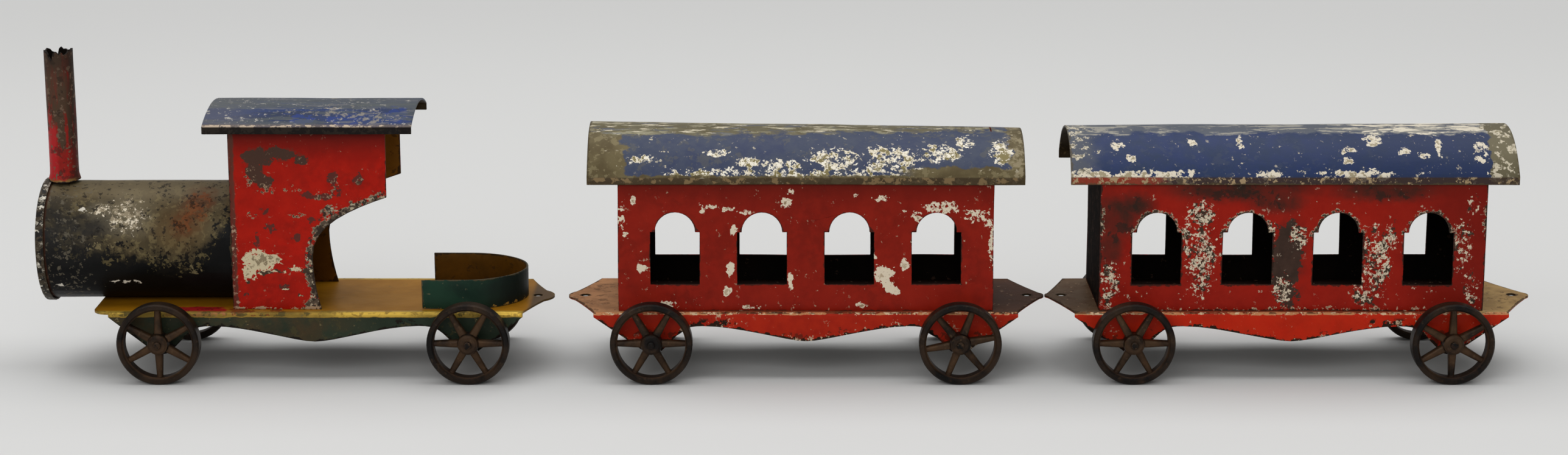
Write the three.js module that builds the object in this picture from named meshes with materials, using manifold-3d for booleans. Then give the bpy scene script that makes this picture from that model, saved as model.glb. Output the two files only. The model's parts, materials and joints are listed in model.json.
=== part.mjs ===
// A tin toy train: a locomotive and two passenger coaches on spoked cast-iron wheels.
// Millimetres, +Z up. The train faces -X, so its left side is -Y. The floor it stands on is Z = 0.
import * as THREE from 'three';
import { mergeVertices } from 'three/addons/utils/BufferGeometryUtils.js';
import Module from 'manifold-3d';

// Sheet and fits
const TIN = 0.6; // tinplate thickness
const SEAT_GAP = 0.3; // left where a piece sits on a curved one, or under a roof
const PRESS_GAP = 0.1; // wheel bore around its axle
const RUNNING_GAP = 0.25; // valance hole around a turning axle

// Wheels and axles
const WHEEL_DIAMETER = 25;
const WHEEL_WIDTH = 5;
const RIM_DEPTH = 2.2;
const HUB_DIAMETER = 6.4;
const HUB_LENGTH = 6;
const SPOKE_COUNT = 6;
const SPOKE_ROOT = 2.6; // spoke width at the hub
const SPOKE_TIP = 1.8; // spoke width at the rim
const SPOKE_THICKNESS = 2.8;
const AXLE_DIAMETER = 2.4;
const AXLE_STUB = 0.8; // axle end standing out of the hub
const WHEEL_SIDE_GAP = 1; // between the frame and the hub

// Frames: a deck with valances folded down along both sides
const FRAME_WIDTH = 46;
const DECK_ABOVE_AXLE = 8.5;
const VALANCE_END = 1.4; // depth of a valance at its two ends
const VALANCE_SHALLOW = 4.2; // depth between a wheel and the middle
const VALANCE_POINT = 9; // depth of the drop in the middle
const VALANCE_FALL = 0.35; // where the drop starts to fall, as a share of the way to the middle
const VALANCE_ROUND = 0.8; // where it starts to round off
const LOBE_RADIUS = 4.4; // valance below each axle
const LOBE_SPREAD = 15.5; // from an axle to the shallow stretch
const TONGUE_STEP = 1.5; // deck narrows by this at each side before a tongue
const TONGUE_HOLLOW = 1.2; // how far the sides of a tongue are drawn in
const TONGUE_NOSE_SPREAD = 50; // degrees of the round nose, to each side
const COUPLING_HOLE = 3; // diameter
const COUPLING_HOLE_SETBACK = 5.2; // from the tip to the middle of the hole

// Locomotive
const BOILER_DIAMETER = 36;
const BOILER_LENGTH = 59.5; // nose to cab
const BOILER_OVERHANG = 17; // nose to the front of the deck
const CAP_FLANGE = 2.4;
const CHIMNEY_DIAMETER = 8.8;
const CHIMNEY_RISE = 41.4; // above the top of the boiler
const CHIMNEY_SETBACK = 5.8; // nose to chimney axis
const CHIMNEY_NOTCHES = 3; // cuts across the top, each makes two notches
const CHIMNEY_NOTCH_DEPTH = 2.6;
const CHIMNEY_NOTCH_WIDTH = 3;
const CHIMNEY_TAB = 3.6; // solder tab behind the chimney foot
const CHIMNEY_TAB_WIDTH = 5;
const LOCO_DECK_LENGTH = 131;
const LOCO_TONGUE = 8.2; // length from the deck
const LOCO_NOSE = 8; // radius at the tip
const LOCO_FRONT_AXLE = 21; // behind the front of the deck
const LOCO_WHEELBASE = 93.8;
const LOCO_SPINS = [30, 0]; // how far each wheelset happens to be turned, in degrees
const DECK_CORNER = 5; // plan radius of the two front corners
const CAB_INSET = 4.5; // deck edge to cab side
const CAB_TOP_LENGTH = 47.7;
const CAB_WAIST_LENGTH = 24.6; // shortest place of the cab side
const CAB_FOOT_LENGTH = 27;
const CAB_WAIST_HEIGHT = 16.5; // above the deck
const CAB_CORNER_HEIGHT = 34.8; // lower rear corner of the upper side
const CAB_CURVE_RISE = 9.5; // how far the curve leaves the waist straight up
const CAB_CURVE_RUN = 11; // and how far it comes into the corner
const CAB_CURVE_DROP = 3.6; // with this fall along that run
const CAB_EAVE_HEIGHT = 54.7;
const CAB_ROOF_FRONT = 7.2; // roof overhangs
const CAB_ROOF_REAR = 8.3;
const CAB_ROOF_SIDE = 2.5;
const CAB_ROOF_RISE = 4.2;
const CAB_ROOF_LIP = 2.3;
const FENCE_INSET = 4;
const FENCE_HEIGHT = 9.2;
const FENCE_LENGTH = 31;

// Coaches
const COACH_1_GAP = 4.4; // stands clear of the locomotive's tongue
const COACH_1_BODY = 114;
const COACH_1_FRONT_TONGUE = 9; // length from the deck
const COACH_1_FRONT_NOSE = 6; // radius at the tip
const COACH_1_REAR_TONGUE = 9.5;
const COACH_1_REAR_NOSE = 4;
const COACH_2_GAP = 0.3; // its tongue meets the one in front of it
const COACH_2_BODY = 117;
const COACH_2_FRONT_TONGUE = 7.4;
const COACH_2_FRONT_NOSE = 2.5;
const COACH_2_REAR_TONGUE = 11;
const COACH_2_REAR_NOSE = 4;
const PLATFORM = 7.5; // deck beyond each end of the body
const COACH_INSET = 2.5; // deck edge to coach side
const COACH_AXLE_INSET = 10.2; // body end to axle
const COACH_EAVE_HEIGHT = 39.3; // above the deck
const COACH_ROOF_END = 9.2; // roof overhangs
const COACH_ROOF_SIDE = 1;
const COACH_ROOF_RISE = 11.7;
const COACH_ROOF_LIP = 2.5;
const WINDOW_COUNT = 4;
const WINDOW_WIDTH = 15;
const WINDOW_SILL = 8.2; // above the deck
const WINDOW_SHOULDER = 24.4; // above the deck, where the arch springs
const WINDOW_ARCH_RADIUS = 6.1;
const WINDOW_END_MARGIN = 17.3; // body end to the middle of the first window

// Each coach's own sizes, and how far each wheelset happens to be turned, in degrees
const COACHES = [
  {
    name: 'coach_1',
    gapAhead: COACH_1_GAP,
    bodyLength: COACH_1_BODY,
    frontTongue: { reach: COACH_1_FRONT_TONGUE, nose: COACH_1_FRONT_NOSE },
    rearTongue: { reach: COACH_1_REAR_TONGUE, nose: COACH_1_REAR_NOSE },
    spins: [0, -10],
  },
  {
    name: 'coach_2',
    gapAhead: COACH_2_GAP,
    bodyLength: COACH_2_BODY,
    frontTongue: { reach: COACH_2_FRONT_TONGUE, nose: COACH_2_FRONT_NOSE },
    rearTongue: { reach: COACH_2_REAR_TONGUE, nose: COACH_2_REAR_NOSE },
    spins: [0, 30],
  },
];

// Facets
const WHEEL_SEGMENTS = 36;
const HUB_SEGMENTS = 16;
const AXLE_SEGMENTS = 12;
const BOILER_SEGMENTS = 40;
const CHIMNEY_SEGMENTS = 24;
const CURVE_SEGMENTS = 8;
const ROOF_SEGMENTS = 20;

// Heights and half widths that several pieces share
const axleHeight = WHEEL_DIAMETER / 2;
const deckTop = axleHeight + DECK_ABOVE_AXLE;
const frameHalf = FRAME_WIDTH / 2;
const boilerRadius = BOILER_DIAMETER / 2;
const boilerAxis = deckTop + boilerRadius;
const cabHalf = frameHalf - CAB_INSET;
const fenceHalf = frameHalf - FENCE_INSET;
const coachHalf = frameHalf - COACH_INSET;
const hubInner = frameHalf + WHEEL_SIDE_GAP;

const radians = THREE.MathUtils.degToRad;
const between = THREE.MathUtils.lerp;

function material(color, roughness, metalness) {
  return new THREE.MeshStandardMaterial({ color, roughness, metalness });
}

const MATERIALS = {
  redPaint: material(0x8c1a10, 0.5, 0.1),
  orangeRedPaint: material(0xa8260f, 0.5, 0.1),
  bluePaint: material(0x3a4468, 0.55, 0.1),
  greenPaint: material(0x1f3024, 0.5, 0.1),
  blackPaint: material(0x15130f, 0.5, 0.1),
  stackPaint: material(0x4a1a12, 0.6, 0.1),
  castIron: material(0x2e2118, 0.55, 0.7),
};

const wasm = await Module();
wasm.setup();

// A solid from a closed geometry, for joining and cutting
function solid(geometry) {
  const bare = geometry.clone();
  bare.deleteAttribute('normal');
  bare.deleteAttribute('uv');
  const merged = mergeVertices(bare, 1e-4);
  const vertProperties = new Float32Array(merged.attributes.position.array);
  const triVerts = new Uint32Array(merged.index.array);
  return new wasm.Manifold(new wasm.Mesh({ numProp: 3, vertProperties, triVerts }));
}

// A flat-shaded geometry from a solid
function faces(result) {
  const { vertProperties, triVerts } = result.getMesh();
  const geometry = new THREE.BufferGeometry();
  geometry.setAttribute('position', new THREE.BufferAttribute(vertProperties, 3));
  geometry.setIndex(new THREE.BufferAttribute(triVerts, 1));
  const flat = geometry.toNonIndexed();
  flat.computeVertexNormals();
  return flat;
}

function piece(name, geometry, finish) {
  const mesh = new THREE.Mesh(geometry, finish);
  mesh.name = name;
  return mesh;
}

const extrude = (shape, depth, curveSegments = CURVE_SEGMENTS) =>
  new THREE.ExtrudeGeometry(shape, { depth, curveSegments, bevelEnabled: false });

// An outline in X and Z, given its thickness along Y from y upwards
function sheetAcrossY(shape, y, thickness) {
  return extrude(shape, thickness).rotateX(Math.PI / 2).translate(0, y + thickness, 0);
}

// An outline in Y and Z, drawn out along X from x
function drawnAlongX(shape, x, length, curveSegments) {
  const turn = new THREE.Matrix4().makeBasis(
    new THREE.Vector3(0, 1, 0),
    new THREE.Vector3(0, 0, 1),
    new THREE.Vector3(1, 0, 0),
  );
  return extrude(shape, length, curveSegments).applyMatrix4(turn).translate(x, 0, 0);
}

// A turned form about Y. Its facets lie on the radii given, and one facet faces straight down.
function turned(profile, segments) {
  const halfStep = Math.PI / segments;
  const points = profile.map(([radius, along]) => new THREE.Vector2(radius / Math.cos(halfStep), along));
  return new THREE.LatheGeometry(points, segments, halfStep);
}

function ring(inner, outer, from, to, segments) {
  return turned([[inner, from], [outer, from], [outer, to], [inner, to], [inner, from]], segments);
}

function rod(radius, from, to, segments) {
  return turned([[0, from], [radius, from], [radius, to], [0, to]], segments);
}

const aboutX = (geometry) => geometry.rotateZ(-Math.PI / 2);
const aboutZ = (geometry) => geometry.rotateX(Math.PI / 2);

// Wheel: rim, hub and tapered spokes, middle of its width at Y = 0
function wheelGeometry() {
  const rimInner = axleHeight - RIM_DEPTH;
  const halfWidth = WHEEL_WIDTH / 2;
  const halfHub = HUB_LENGTH / 2;
  const rimOverlap = RIM_DEPTH / 2;
  let wheel = solid(ring(rimInner, axleHeight, -halfWidth, halfWidth, WHEEL_SEGMENTS));
  wheel = wheel.add(solid(rod(HUB_DIAMETER / 2, -halfHub, halfHub, HUB_SEGMENTS)));
  for (let i = 0; i < SPOKE_COUNT; i++) {
    const spoke = new THREE.Shape();
    spoke.moveTo(0, -SPOKE_ROOT / 2);
    spoke.lineTo(rimInner + rimOverlap, -SPOKE_TIP / 2);
    spoke.lineTo(rimInner + rimOverlap, SPOKE_TIP / 2);
    spoke.lineTo(0, SPOKE_ROOT / 2);
    const blade = sheetAcrossY(spoke, -SPOKE_THICKNESS / 2, SPOKE_THICKNESS);
    wheel = wheel.add(solid(blade.rotateY((i * 2 * Math.PI) / SPOKE_COUNT)));
  }
  const bore = rod(AXLE_DIAMETER / 2 + PRESS_GAP, -HUB_LENGTH, HUB_LENGTH, AXLE_SEGMENTS);
  return faces(wheel.subtract(solid(bore)));
}

const castWheel = wheelGeometry(); // every wheel is alike

// Wheelset: an axle with a wheel on each end, turned to its own angle
function wheelset(prefix, x, spin) {
  const group = new THREE.Group();
  group.position.set(x, 0, axleHeight);
  group.rotation.y = radians(spin);
  const axleHalf = hubInner + HUB_LENGTH + AXLE_STUB;
  const axle = rod(AXLE_DIAMETER / 2, -axleHalf, axleHalf, AXLE_SEGMENTS);
  group.add(piece(`${prefix}_axle`, axle, MATERIALS.castIron));
  for (const [side, direction] of [['left', -1], ['right', 1]]) {
    const wheel = piece(`${prefix}_${side}_wheel`, castWheel, MATERIALS.castIron);
    wheel.position.y = direction * (hubInner + HUB_LENGTH / 2);
    group.add(wheel);
  }
  return group;
}

// A tongue at one end of a deck outline. The outline runs on from one edge of the deck to the other.
function addTongue(shape, shoulder, { reach, nose }, direction) {
  const tip = shoulder + direction * reach;
  const noseMiddle = tip - direction * nose;
  const spread = radians(TONGUE_NOSE_SPREAD);
  const ahead = direction > 0 ? 0 : Math.PI;
  const neckX = noseMiddle + direction * nose * Math.cos(spread);
  const neckY = nose * Math.sin(spread);
  const edge = frameHalf - TONGUE_STEP;
  const hollowX = between(neckX, shoulder, 0.5);
  const hollowY = between(neckY, edge, 0.5) - TONGUE_HOLLOW;
  shape.lineTo(shoulder, -direction * frameHalf);
  shape.lineTo(shoulder, -direction * edge);
  shape.quadraticCurveTo(hollowX, -direction * hollowY, neckX, -direction * neckY);
  shape.absarc(noseMiddle, 0, nose, ahead - spread, ahead + spread, false);
  shape.quadraticCurveTo(hollowX, direction * hollowY, shoulder, direction * edge);
  shape.lineTo(shoulder, direction * frameHalf);
  const hole = new THREE.Path();
  hole.absarc(tip - direction * COUPLING_HOLE_SETBACK, 0, COUPLING_HOLE / 2, 0, 2 * Math.PI, true);
  shape.holes.push(hole);
}

// Outline of a deck seen from above, with a tongue at the rear and a tongue or round corners at the front
function deckPlan({ front, rear, frontTongue, rearTongue }) {
  const shape = new THREE.Shape();
  shape.moveTo(between(front, rear, 0.5), -frameHalf);
  addTongue(shape, rear, rearTongue, 1);
  if (frontTongue) {
    addTongue(shape, front, frontTongue, -1);
  } else {
    shape.lineTo(front + DECK_CORNER, frameHalf);
    shape.absarc(front + DECK_CORNER, frameHalf - DECK_CORNER, DECK_CORNER, Math.PI / 2, Math.PI, false);
    shape.absarc(front + DECK_CORNER, DECK_CORNER - frameHalf, DECK_CORNER, Math.PI, 1.5 * Math.PI, false);
  }
  return shape;
}

// Side view of a valance: sloping ends, a lobe under each axle and a drop in the middle
function valanceProfile({ front, rear, axles }) {
  const [frontAxle, rearAxle] = axles;
  const middle = between(frontAxle, rearAxle, 0.5);
  const end = deckTop - VALANCE_END;
  const shallow = deckTop - VALANCE_SHALLOW;
  const point = deckTop - VALANCE_POINT;
  const lobeSide = LOBE_RADIUS * Math.SQRT1_2;
  const lobeShoulder = axleHeight - lobeSide;
  const flank = (LOBE_SPREAD - lobeSide) / 2;
  const shape = new THREE.Shape();
  shape.moveTo(front, deckTop);
  shape.lineTo(front, end);
  for (const [axle, inwards] of [[frontAxle, 1], [rearAxle, -1]]) {
    const shallowX = axle + inwards * LOBE_SPREAD;
    const towardsMiddle = between(shallowX, middle, VALANCE_FALL);
    const nearMiddle = between(shallowX, middle, VALANCE_ROUND);
    if (inwards < 0) {
      shape.bezierCurveTo(nearMiddle, point, towardsMiddle, shallow, shallowX, shallow);
      shape.bezierCurveTo(shallowX + flank, shallow, axle - lobeSide - flank, lobeShoulder + flank,
        axle - lobeSide, lobeShoulder);
    } else {
      shape.lineTo(axle - lobeSide, lobeShoulder);
    }
    shape.absarc(axle, axleHeight, LOBE_RADIUS, 1.25 * Math.PI, 1.75 * Math.PI, false);
    if (inwards > 0) {
      shape.bezierCurveTo(axle + lobeSide + flank, lobeShoulder + flank, shallowX - flank, shallow,
        shallowX, shallow);
      shape.bezierCurveTo(towardsMiddle, shallow, nearMiddle, point, middle, point);
    }
    const hole = new THREE.Path();
    hole.absarc(axle, axleHeight, AXLE_DIAMETER / 2 + RUNNING_GAP, 0, 2 * Math.PI, true);
    shape.holes.push(hole);
  }
  shape.lineTo(rear, end);
  shape.lineTo(rear, deckTop);
  return shape;
}

// Frame: deck and two valances in one bent sheet
function frameGeometry(layout) {
  const deck = extrude(deckPlan(layout), TIN).translate(0, 0, deckTop - TIN);
  const cornerSetback = layout.frontTongue ? 0 : DECK_CORNER;
  const profile = valanceProfile({ ...layout, front: layout.front + cornerSetback });
  const leftValance = sheetAcrossY(profile, -frameHalf, TIN);
  const rightValance = sheetAcrossY(profile, frameHalf - TIN, TIN);
  return faces(solid(deck).add(solid(leftValance)).add(solid(rightValance)));
}

// An arched roof sheet: where its centre lies, and how high its underside is at a distance from the middle
function arch({ half, rise, lip, eave }) {
  const spring = eave + lip;
  const radius = (half * half + rise * rise) / (2 * rise);
  const centre = spring + rise - radius;
  const spread = Math.asin(half / radius);
  const underside = (y) => centre + Math.sqrt((radius - TIN) ** 2 - y * y);
  return { half, eave, radius, centre, spread, underside };
}

function roofGeometry(roof, from, to) {
  const innerHalf = roof.half - TIN;
  const innerRadius = roof.radius - TIN;
  const innerSpread = Math.asin(innerHalf / innerRadius);
  const up = Math.PI / 2;
  const shape = new THREE.Shape();
  shape.moveTo(-innerHalf, roof.eave);
  shape.lineTo(-roof.half, roof.eave);
  shape.absarc(0, roof.centre, roof.radius, up + roof.spread, up - roof.spread, true);
  shape.lineTo(roof.half, roof.eave);
  shape.lineTo(innerHalf, roof.eave);
  shape.absarc(0, roof.centre, innerRadius, up - innerSpread, up + innerSpread, false);
  return drawnAlongX(shape, from, to - from, ROOF_SEGMENTS);
}

// A wall across the train, with its top cut to the roof above it
function crossWallGeometry(roof, half, x) {
  const radius = roof.radius - TIN - SEAT_GAP;
  const spread = Math.asin(half / radius);
  const up = Math.PI / 2;
  const shape = new THREE.Shape();
  shape.moveTo(-half, deckTop);
  shape.lineTo(half, deckTop);
  shape.absarc(0, roof.centre, radius, up - spread, up + spread, false);
  return drawnAlongX(shape, x, TIN, CURVE_SEGMENTS);
}

// Boiler barrel and its cap, nose at x = 0
function barrelGeometry() {
  const tube = ring(boilerRadius - TIN, boilerRadius, TIN, BOILER_LENGTH, BOILER_SEGMENTS);
  return aboutX(tube).translate(0, 0, boilerAxis);
}

function capGeometry() {
  const inner = boilerRadius + SEAT_GAP;
  const outer = inner + TIN;
  const profile = [[0, 0], [outer, 0], [outer, CAP_FLANGE], [inner, CAP_FLANGE], [inner, TIN], [0, TIN]];
  return aboutX(turned(profile, BOILER_SEGMENTS)).translate(0, 0, boilerAxis);
}

// Chimney: a tube cut to the barrel and the cap flange at its foot, a tab behind it, notches round its top
function chimneyGeometry() {
  const radius = CHIMNEY_DIAMETER / 2;
  const top = boilerAxis + boilerRadius + CHIMNEY_RISE;
  const seatRadius = boilerRadius + SEAT_GAP;
  const flangeRadius = seatRadius + TIN + SEAT_GAP;
  const flangeEnd = CAP_FLANGE + SEAT_GAP;
  const tabEnd = CHIMNEY_SETBACK + radius + CHIMNEY_TAB;
  const barrelSeat = rod(seatRadius, -boilerRadius, BOILER_LENGTH, BOILER_SEGMENTS);
  const flangeSeat = rod(flangeRadius, -boilerRadius, flangeEnd, BOILER_SEGMENTS);
  const tabSkin = ring(seatRadius, seatRadius + TIN, CHIMNEY_SETBACK, tabEnd, BOILER_SEGMENTS);
  const tabStrip = new THREE.BoxGeometry(2 * BOILER_LENGTH, CHIMNEY_TAB_WIDTH, BOILER_DIAMETER);
  const tab = solid(aboutX(tabSkin).translate(0, 0, boilerAxis))
    .intersect(solid(tabStrip.translate(0, 0, boilerAxis + boilerRadius)));
  const outside = rod(radius, boilerAxis, top, CHIMNEY_SEGMENTS);
  const bore = rod(radius - TIN, 0, top + CHIMNEY_RISE, CHIMNEY_SEGMENTS);
  let stack = solid(aboutZ(outside).translate(CHIMNEY_SETBACK, 0, 0)).add(tab);
  stack = stack.subtract(solid(aboutZ(bore).translate(CHIMNEY_SETBACK, 0, 0)));
  for (const seat of [barrelSeat, flangeSeat]) {
    stack = stack.subtract(solid(aboutX(seat).translate(0, 0, boilerAxis)));
  }
  for (let i = 0; i < CHIMNEY_NOTCHES; i++) {
    const notch = new THREE.Shape();
    notch.moveTo(0, top - CHIMNEY_NOTCH_DEPTH);
    notch.lineTo(CHIMNEY_NOTCH_WIDTH / 2, top);
    notch.lineTo(CHIMNEY_NOTCH_WIDTH / 2, top + TIN);
    notch.lineTo(-CHIMNEY_NOTCH_WIDTH / 2, top + TIN);
    notch.lineTo(-CHIMNEY_NOTCH_WIDTH / 2, top);
    const cut = sheetAcrossY(notch, -CHIMNEY_DIAMETER, 2 * CHIMNEY_DIAMETER);
    cut.rotateZ((i * Math.PI) / CHIMNEY_NOTCHES).translate(CHIMNEY_SETBACK, 0, 0);
    stack = stack.subtract(solid(cut));
  }
  return faces(stack);
}

// Cab: a front wall and two sides, bent from one sheet, with a curved cut-out at the rear
function cabGeometry(roof, front) {
  const top = roof.underside(cabHalf) - SEAT_GAP;
  const rear = front + CAB_TOP_LENGTH;
  const corner = deckTop + CAB_CORNER_HEIGHT;
  const waist = front + CAB_WAIST_LENGTH;
  const waistHeight = deckTop + CAB_WAIST_HEIGHT;
  const foot = front + CAB_FOOT_LENGTH;
  const side = new THREE.Shape();
  side.moveTo(front, deckTop);
  side.lineTo(foot, deckTop);
  side.quadraticCurveTo(waist, between(deckTop, waistHeight, 0.5), waist, waistHeight);
  side.bezierCurveTo(waist, waistHeight + CAB_CURVE_RISE, rear - CAB_CURVE_RUN, corner - CAB_CURVE_DROP,
    rear, corner);
  side.lineTo(rear, top);
  side.lineTo(front, top);
  const left = sheetAcrossY(side, -cabHalf, TIN);
  const right = sheetAcrossY(side, cabHalf - TIN, TIN);
  const frontWall = crossWallGeometry(roof, cabHalf, front);
  return faces(solid(left).add(solid(right)).add(solid(frontWall)));
}

// Tender fence: a strip on edge, straight sides and a round rear, open to the front
function fenceGeometry(rear) {
  const front = rear - FENCE_LENGTH;
  const bendMiddle = rear - fenceHalf;
  const inner = fenceHalf - TIN;
  const quarter = Math.PI / 2;
  const shape = new THREE.Shape();
  shape.moveTo(front, -fenceHalf);
  shape.absarc(bendMiddle, 0, fenceHalf, -quarter, quarter, false);
  shape.lineTo(front, fenceHalf);
  shape.lineTo(front, inner);
  shape.absarc(bendMiddle, 0, inner, quarter, -quarter, true);
  shape.lineTo(front, -inner);
  return extrude(shape, FENCE_HEIGHT, 2 * CURVE_SEGMENTS).translate(0, 0, deckTop);
}

function locomotive() {
  const group = new THREE.Group();
  const front = BOILER_OVERHANG;
  const rear = front + LOCO_DECK_LENGTH;
  const frontAxle = front + LOCO_FRONT_AXLE;
  const axles = [frontAxle, frontAxle + LOCO_WHEELBASE];
  const roof = arch({
    half: cabHalf + CAB_ROOF_SIDE,
    rise: CAB_ROOF_RISE,
    lip: CAB_ROOF_LIP,
    eave: deckTop + CAB_EAVE_HEIGHT,
  });
  const roofFront = BOILER_LENGTH - CAB_ROOF_FRONT;
  const roofRear = BOILER_LENGTH + CAB_TOP_LENGTH + CAB_ROOF_REAR;
  const rearTongue = { reach: LOCO_TONGUE, nose: LOCO_NOSE };
  const frame = frameGeometry({ front, rear, frontTongue: null, rearTongue, axles });
  group.add(
    piece('loco_frame', frame, MATERIALS.greenPaint),
    piece('boiler_barrel', barrelGeometry(), MATERIALS.blackPaint),
    piece('boiler_front_cap', capGeometry(), MATERIALS.blackPaint),
    piece('chimney', chimneyGeometry(), MATERIALS.stackPaint),
    piece('cab_body', cabGeometry(roof, BOILER_LENGTH), MATERIALS.redPaint),
    piece('cab_roof', roofGeometry(roof, roofFront, roofRear), MATERIALS.bluePaint),
    piece('tender_fence', fenceGeometry(rear), MATERIALS.greenPaint),
    wheelset('loco_front', axles[0], LOCO_SPINS[0]),
    wheelset('loco_rear', axles[1], LOCO_SPINS[1]),
  );
  return { group, length: rear + LOCO_TONGUE };
}

// Side wall of a coach, cut through by its row of arched windows
function coachSideGeometry(from, bodyLength, top, y) {
  const sill = deckTop + WINDOW_SILL;
  const shoulder = deckTop + WINDOW_SHOULDER;
  const pitch = (bodyLength - 2 * WINDOW_END_MARGIN) / (WINDOW_COUNT - 1);
  const outline = new THREE.Shape();
  outline.moveTo(from, deckTop);
  outline.lineTo(from + bodyLength, deckTop);
  outline.lineTo(from + bodyLength, top);
  outline.lineTo(from, top);
  let wall = solid(sheetAcrossY(outline, y, TIN));
  for (let i = 0; i < WINDOW_COUNT; i++) {
    const middle = from + WINDOW_END_MARGIN + i * pitch;
    const window = new THREE.Shape();
    window.moveTo(middle - WINDOW_WIDTH / 2, shoulder);
    window.lineTo(middle - WINDOW_WIDTH / 2, sill);
    window.lineTo(middle + WINDOW_WIDTH / 2, sill);
    window.lineTo(middle + WINDOW_WIDTH / 2, shoulder);
    window.absarc(middle, shoulder, WINDOW_ARCH_RADIUS, 0, Math.PI, false);
    wall = wall.subtract(solid(sheetAcrossY(window, y - TIN, 3 * TIN)));
  }
  return faces(wall);
}

function coach({ name, bodyLength, frontTongue, rearTongue, spins }) {
  const group = new THREE.Group();
  const front = frontTongue.reach;
  const bodyFront = front + PLATFORM;
  const bodyRear = bodyFront + bodyLength;
  const rear = bodyRear + PLATFORM;
  const axles = [bodyFront + COACH_AXLE_INSET, bodyRear - COACH_AXLE_INSET];
  const roof = arch({
    half: coachHalf + COACH_ROOF_SIDE,
    rise: COACH_ROOF_RISE,
    lip: COACH_ROOF_LIP,
    eave: deckTop + COACH_EAVE_HEIGHT,
  });
  const wallTop = roof.underside(coachHalf) - SEAT_GAP;
  const left = coachSideGeometry(bodyFront, bodyLength, wallTop, -coachHalf);
  const right = coachSideGeometry(bodyFront, bodyLength, wallTop, coachHalf - TIN);
  const endHalf = coachHalf - TIN;
  const frame = frameGeometry({ front, rear, frontTongue, rearTongue, axles });
  const covering = roofGeometry(roof, bodyFront - COACH_ROOF_END, bodyRear + COACH_ROOF_END);
  group.add(
    piece(`${name}_frame`, frame, MATERIALS.orangeRedPaint),
    piece(`${name}_left_side`, left, MATERIALS.redPaint),
    piece(`${name}_right_side`, right, MATERIALS.redPaint),
    piece(`${name}_front_end`, crossWallGeometry(roof, endHalf, bodyFront), MATERIALS.blackPaint),
    piece(`${name}_rear_end`, crossWallGeometry(roof, endHalf, bodyRear - TIN), MATERIALS.blackPaint),
    piece(`${name}_roof`, covering, MATERIALS.bluePaint),
    wheelset(`${name}_front`, axles[0], spins[0]),
    wheelset(`${name}_rear`, axles[1], spins[1]),
  );
  return { group, length: rear + rearTongue.reach };
}

// The train: each vehicle stands behind the one before it, and the middle of the train is at X = 0
const train = new THREE.Group();
const engine = locomotive();
train.add(engine.group);
let tail = engine.length;
for (const sizes of COACHES) {
  const vehicle = coach(sizes);
  vehicle.group.position.x = tail + sizes.gapAhead;
  train.add(vehicle.group);
  tail = vehicle.group.position.x + vehicle.length;
}
train.position.x = -tail / 2;

export default train;
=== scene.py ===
# %% [markdown]
# # A tin toy train
# A locomotive and two coaches, cut from thin tinplate, folded, soldered and painted by hand, on cast-iron
# wheels. The solids of the train come in as a fixed frame, in metres. Here every sheet becomes real sheet
# metal, slightly wavy with rounded edges, and every surface gets its worn paint.

import json
import math

import bmesh
import bpy
from mathutils import Matrix, Vector, kdtree, noise


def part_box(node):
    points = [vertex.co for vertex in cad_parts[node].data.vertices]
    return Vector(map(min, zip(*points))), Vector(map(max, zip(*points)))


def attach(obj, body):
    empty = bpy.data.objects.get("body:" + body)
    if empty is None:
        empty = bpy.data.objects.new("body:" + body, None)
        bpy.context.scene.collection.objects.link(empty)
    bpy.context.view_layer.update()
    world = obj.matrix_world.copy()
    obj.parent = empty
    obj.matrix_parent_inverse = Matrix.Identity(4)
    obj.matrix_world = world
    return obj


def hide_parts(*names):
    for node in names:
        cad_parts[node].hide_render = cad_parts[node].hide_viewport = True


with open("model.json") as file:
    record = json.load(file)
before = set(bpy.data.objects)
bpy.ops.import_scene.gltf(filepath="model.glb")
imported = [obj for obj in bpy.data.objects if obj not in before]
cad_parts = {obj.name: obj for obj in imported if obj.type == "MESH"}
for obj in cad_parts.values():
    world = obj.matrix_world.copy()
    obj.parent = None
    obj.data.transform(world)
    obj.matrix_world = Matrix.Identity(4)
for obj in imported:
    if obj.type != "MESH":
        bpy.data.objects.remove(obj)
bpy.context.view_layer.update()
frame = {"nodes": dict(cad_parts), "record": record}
MM = 0.001
record = frame["record"]
body_of = {node: body for body, nodes in record["behaviour"]["bodies"].items() for node in nodes}
print("pieces in the frame:", len(frame["nodes"]))

# %% [markdown]
# ## The camera
# The photograph looks straight at the near side of the train from a little above. A fairly long lens keeps
# the three vehicles almost equally large. The values below were found by laying the solids over the
# photograph.

# %% Set the camera
VIEW_TILT = math.radians(12.5)
VIEW_FROM = Vector((-1.9, -948.5, 252.7)) * MM
FOCAL_LENGTH = 72.08
SENSOR_WIDTH = 36.0
NEAREST = 0.01

lens = bpy.data.cameras.new("photo_camera")
lens.lens = FOCAL_LENGTH
lens.sensor_width = SENSOR_WIDTH
lens.sensor_fit = "HORIZONTAL"
lens.clip_start = NEAREST
camera = bpy.data.objects.new("photo_camera", lens)
camera.location = VIEW_FROM
camera.rotation_euler = (math.pi / 2 - VIEW_TILT, 0.0, 0.0)
bpy.context.scene.collection.objects.link(camera)
bpy.context.scene.camera = camera
print("camera stands", round(-VIEW_FROM.y, 3), "m in front of the train")

# %% [markdown]
# ## Short words for shader nodes
# A worn surface needs many nodes, so a few small helpers make, feed and combine them. A value that is a
# socket, or that holds one as a mask does, is linked, and any other value is written into the input.

# %% Node helpers
def feed(tree, socket, value):
    value = getattr(value, "socket", value)
    if isinstance(value, bpy.types.NodeSocket):
        tree.links.new(value, socket)
    else:
        socket.default_value = value


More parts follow.
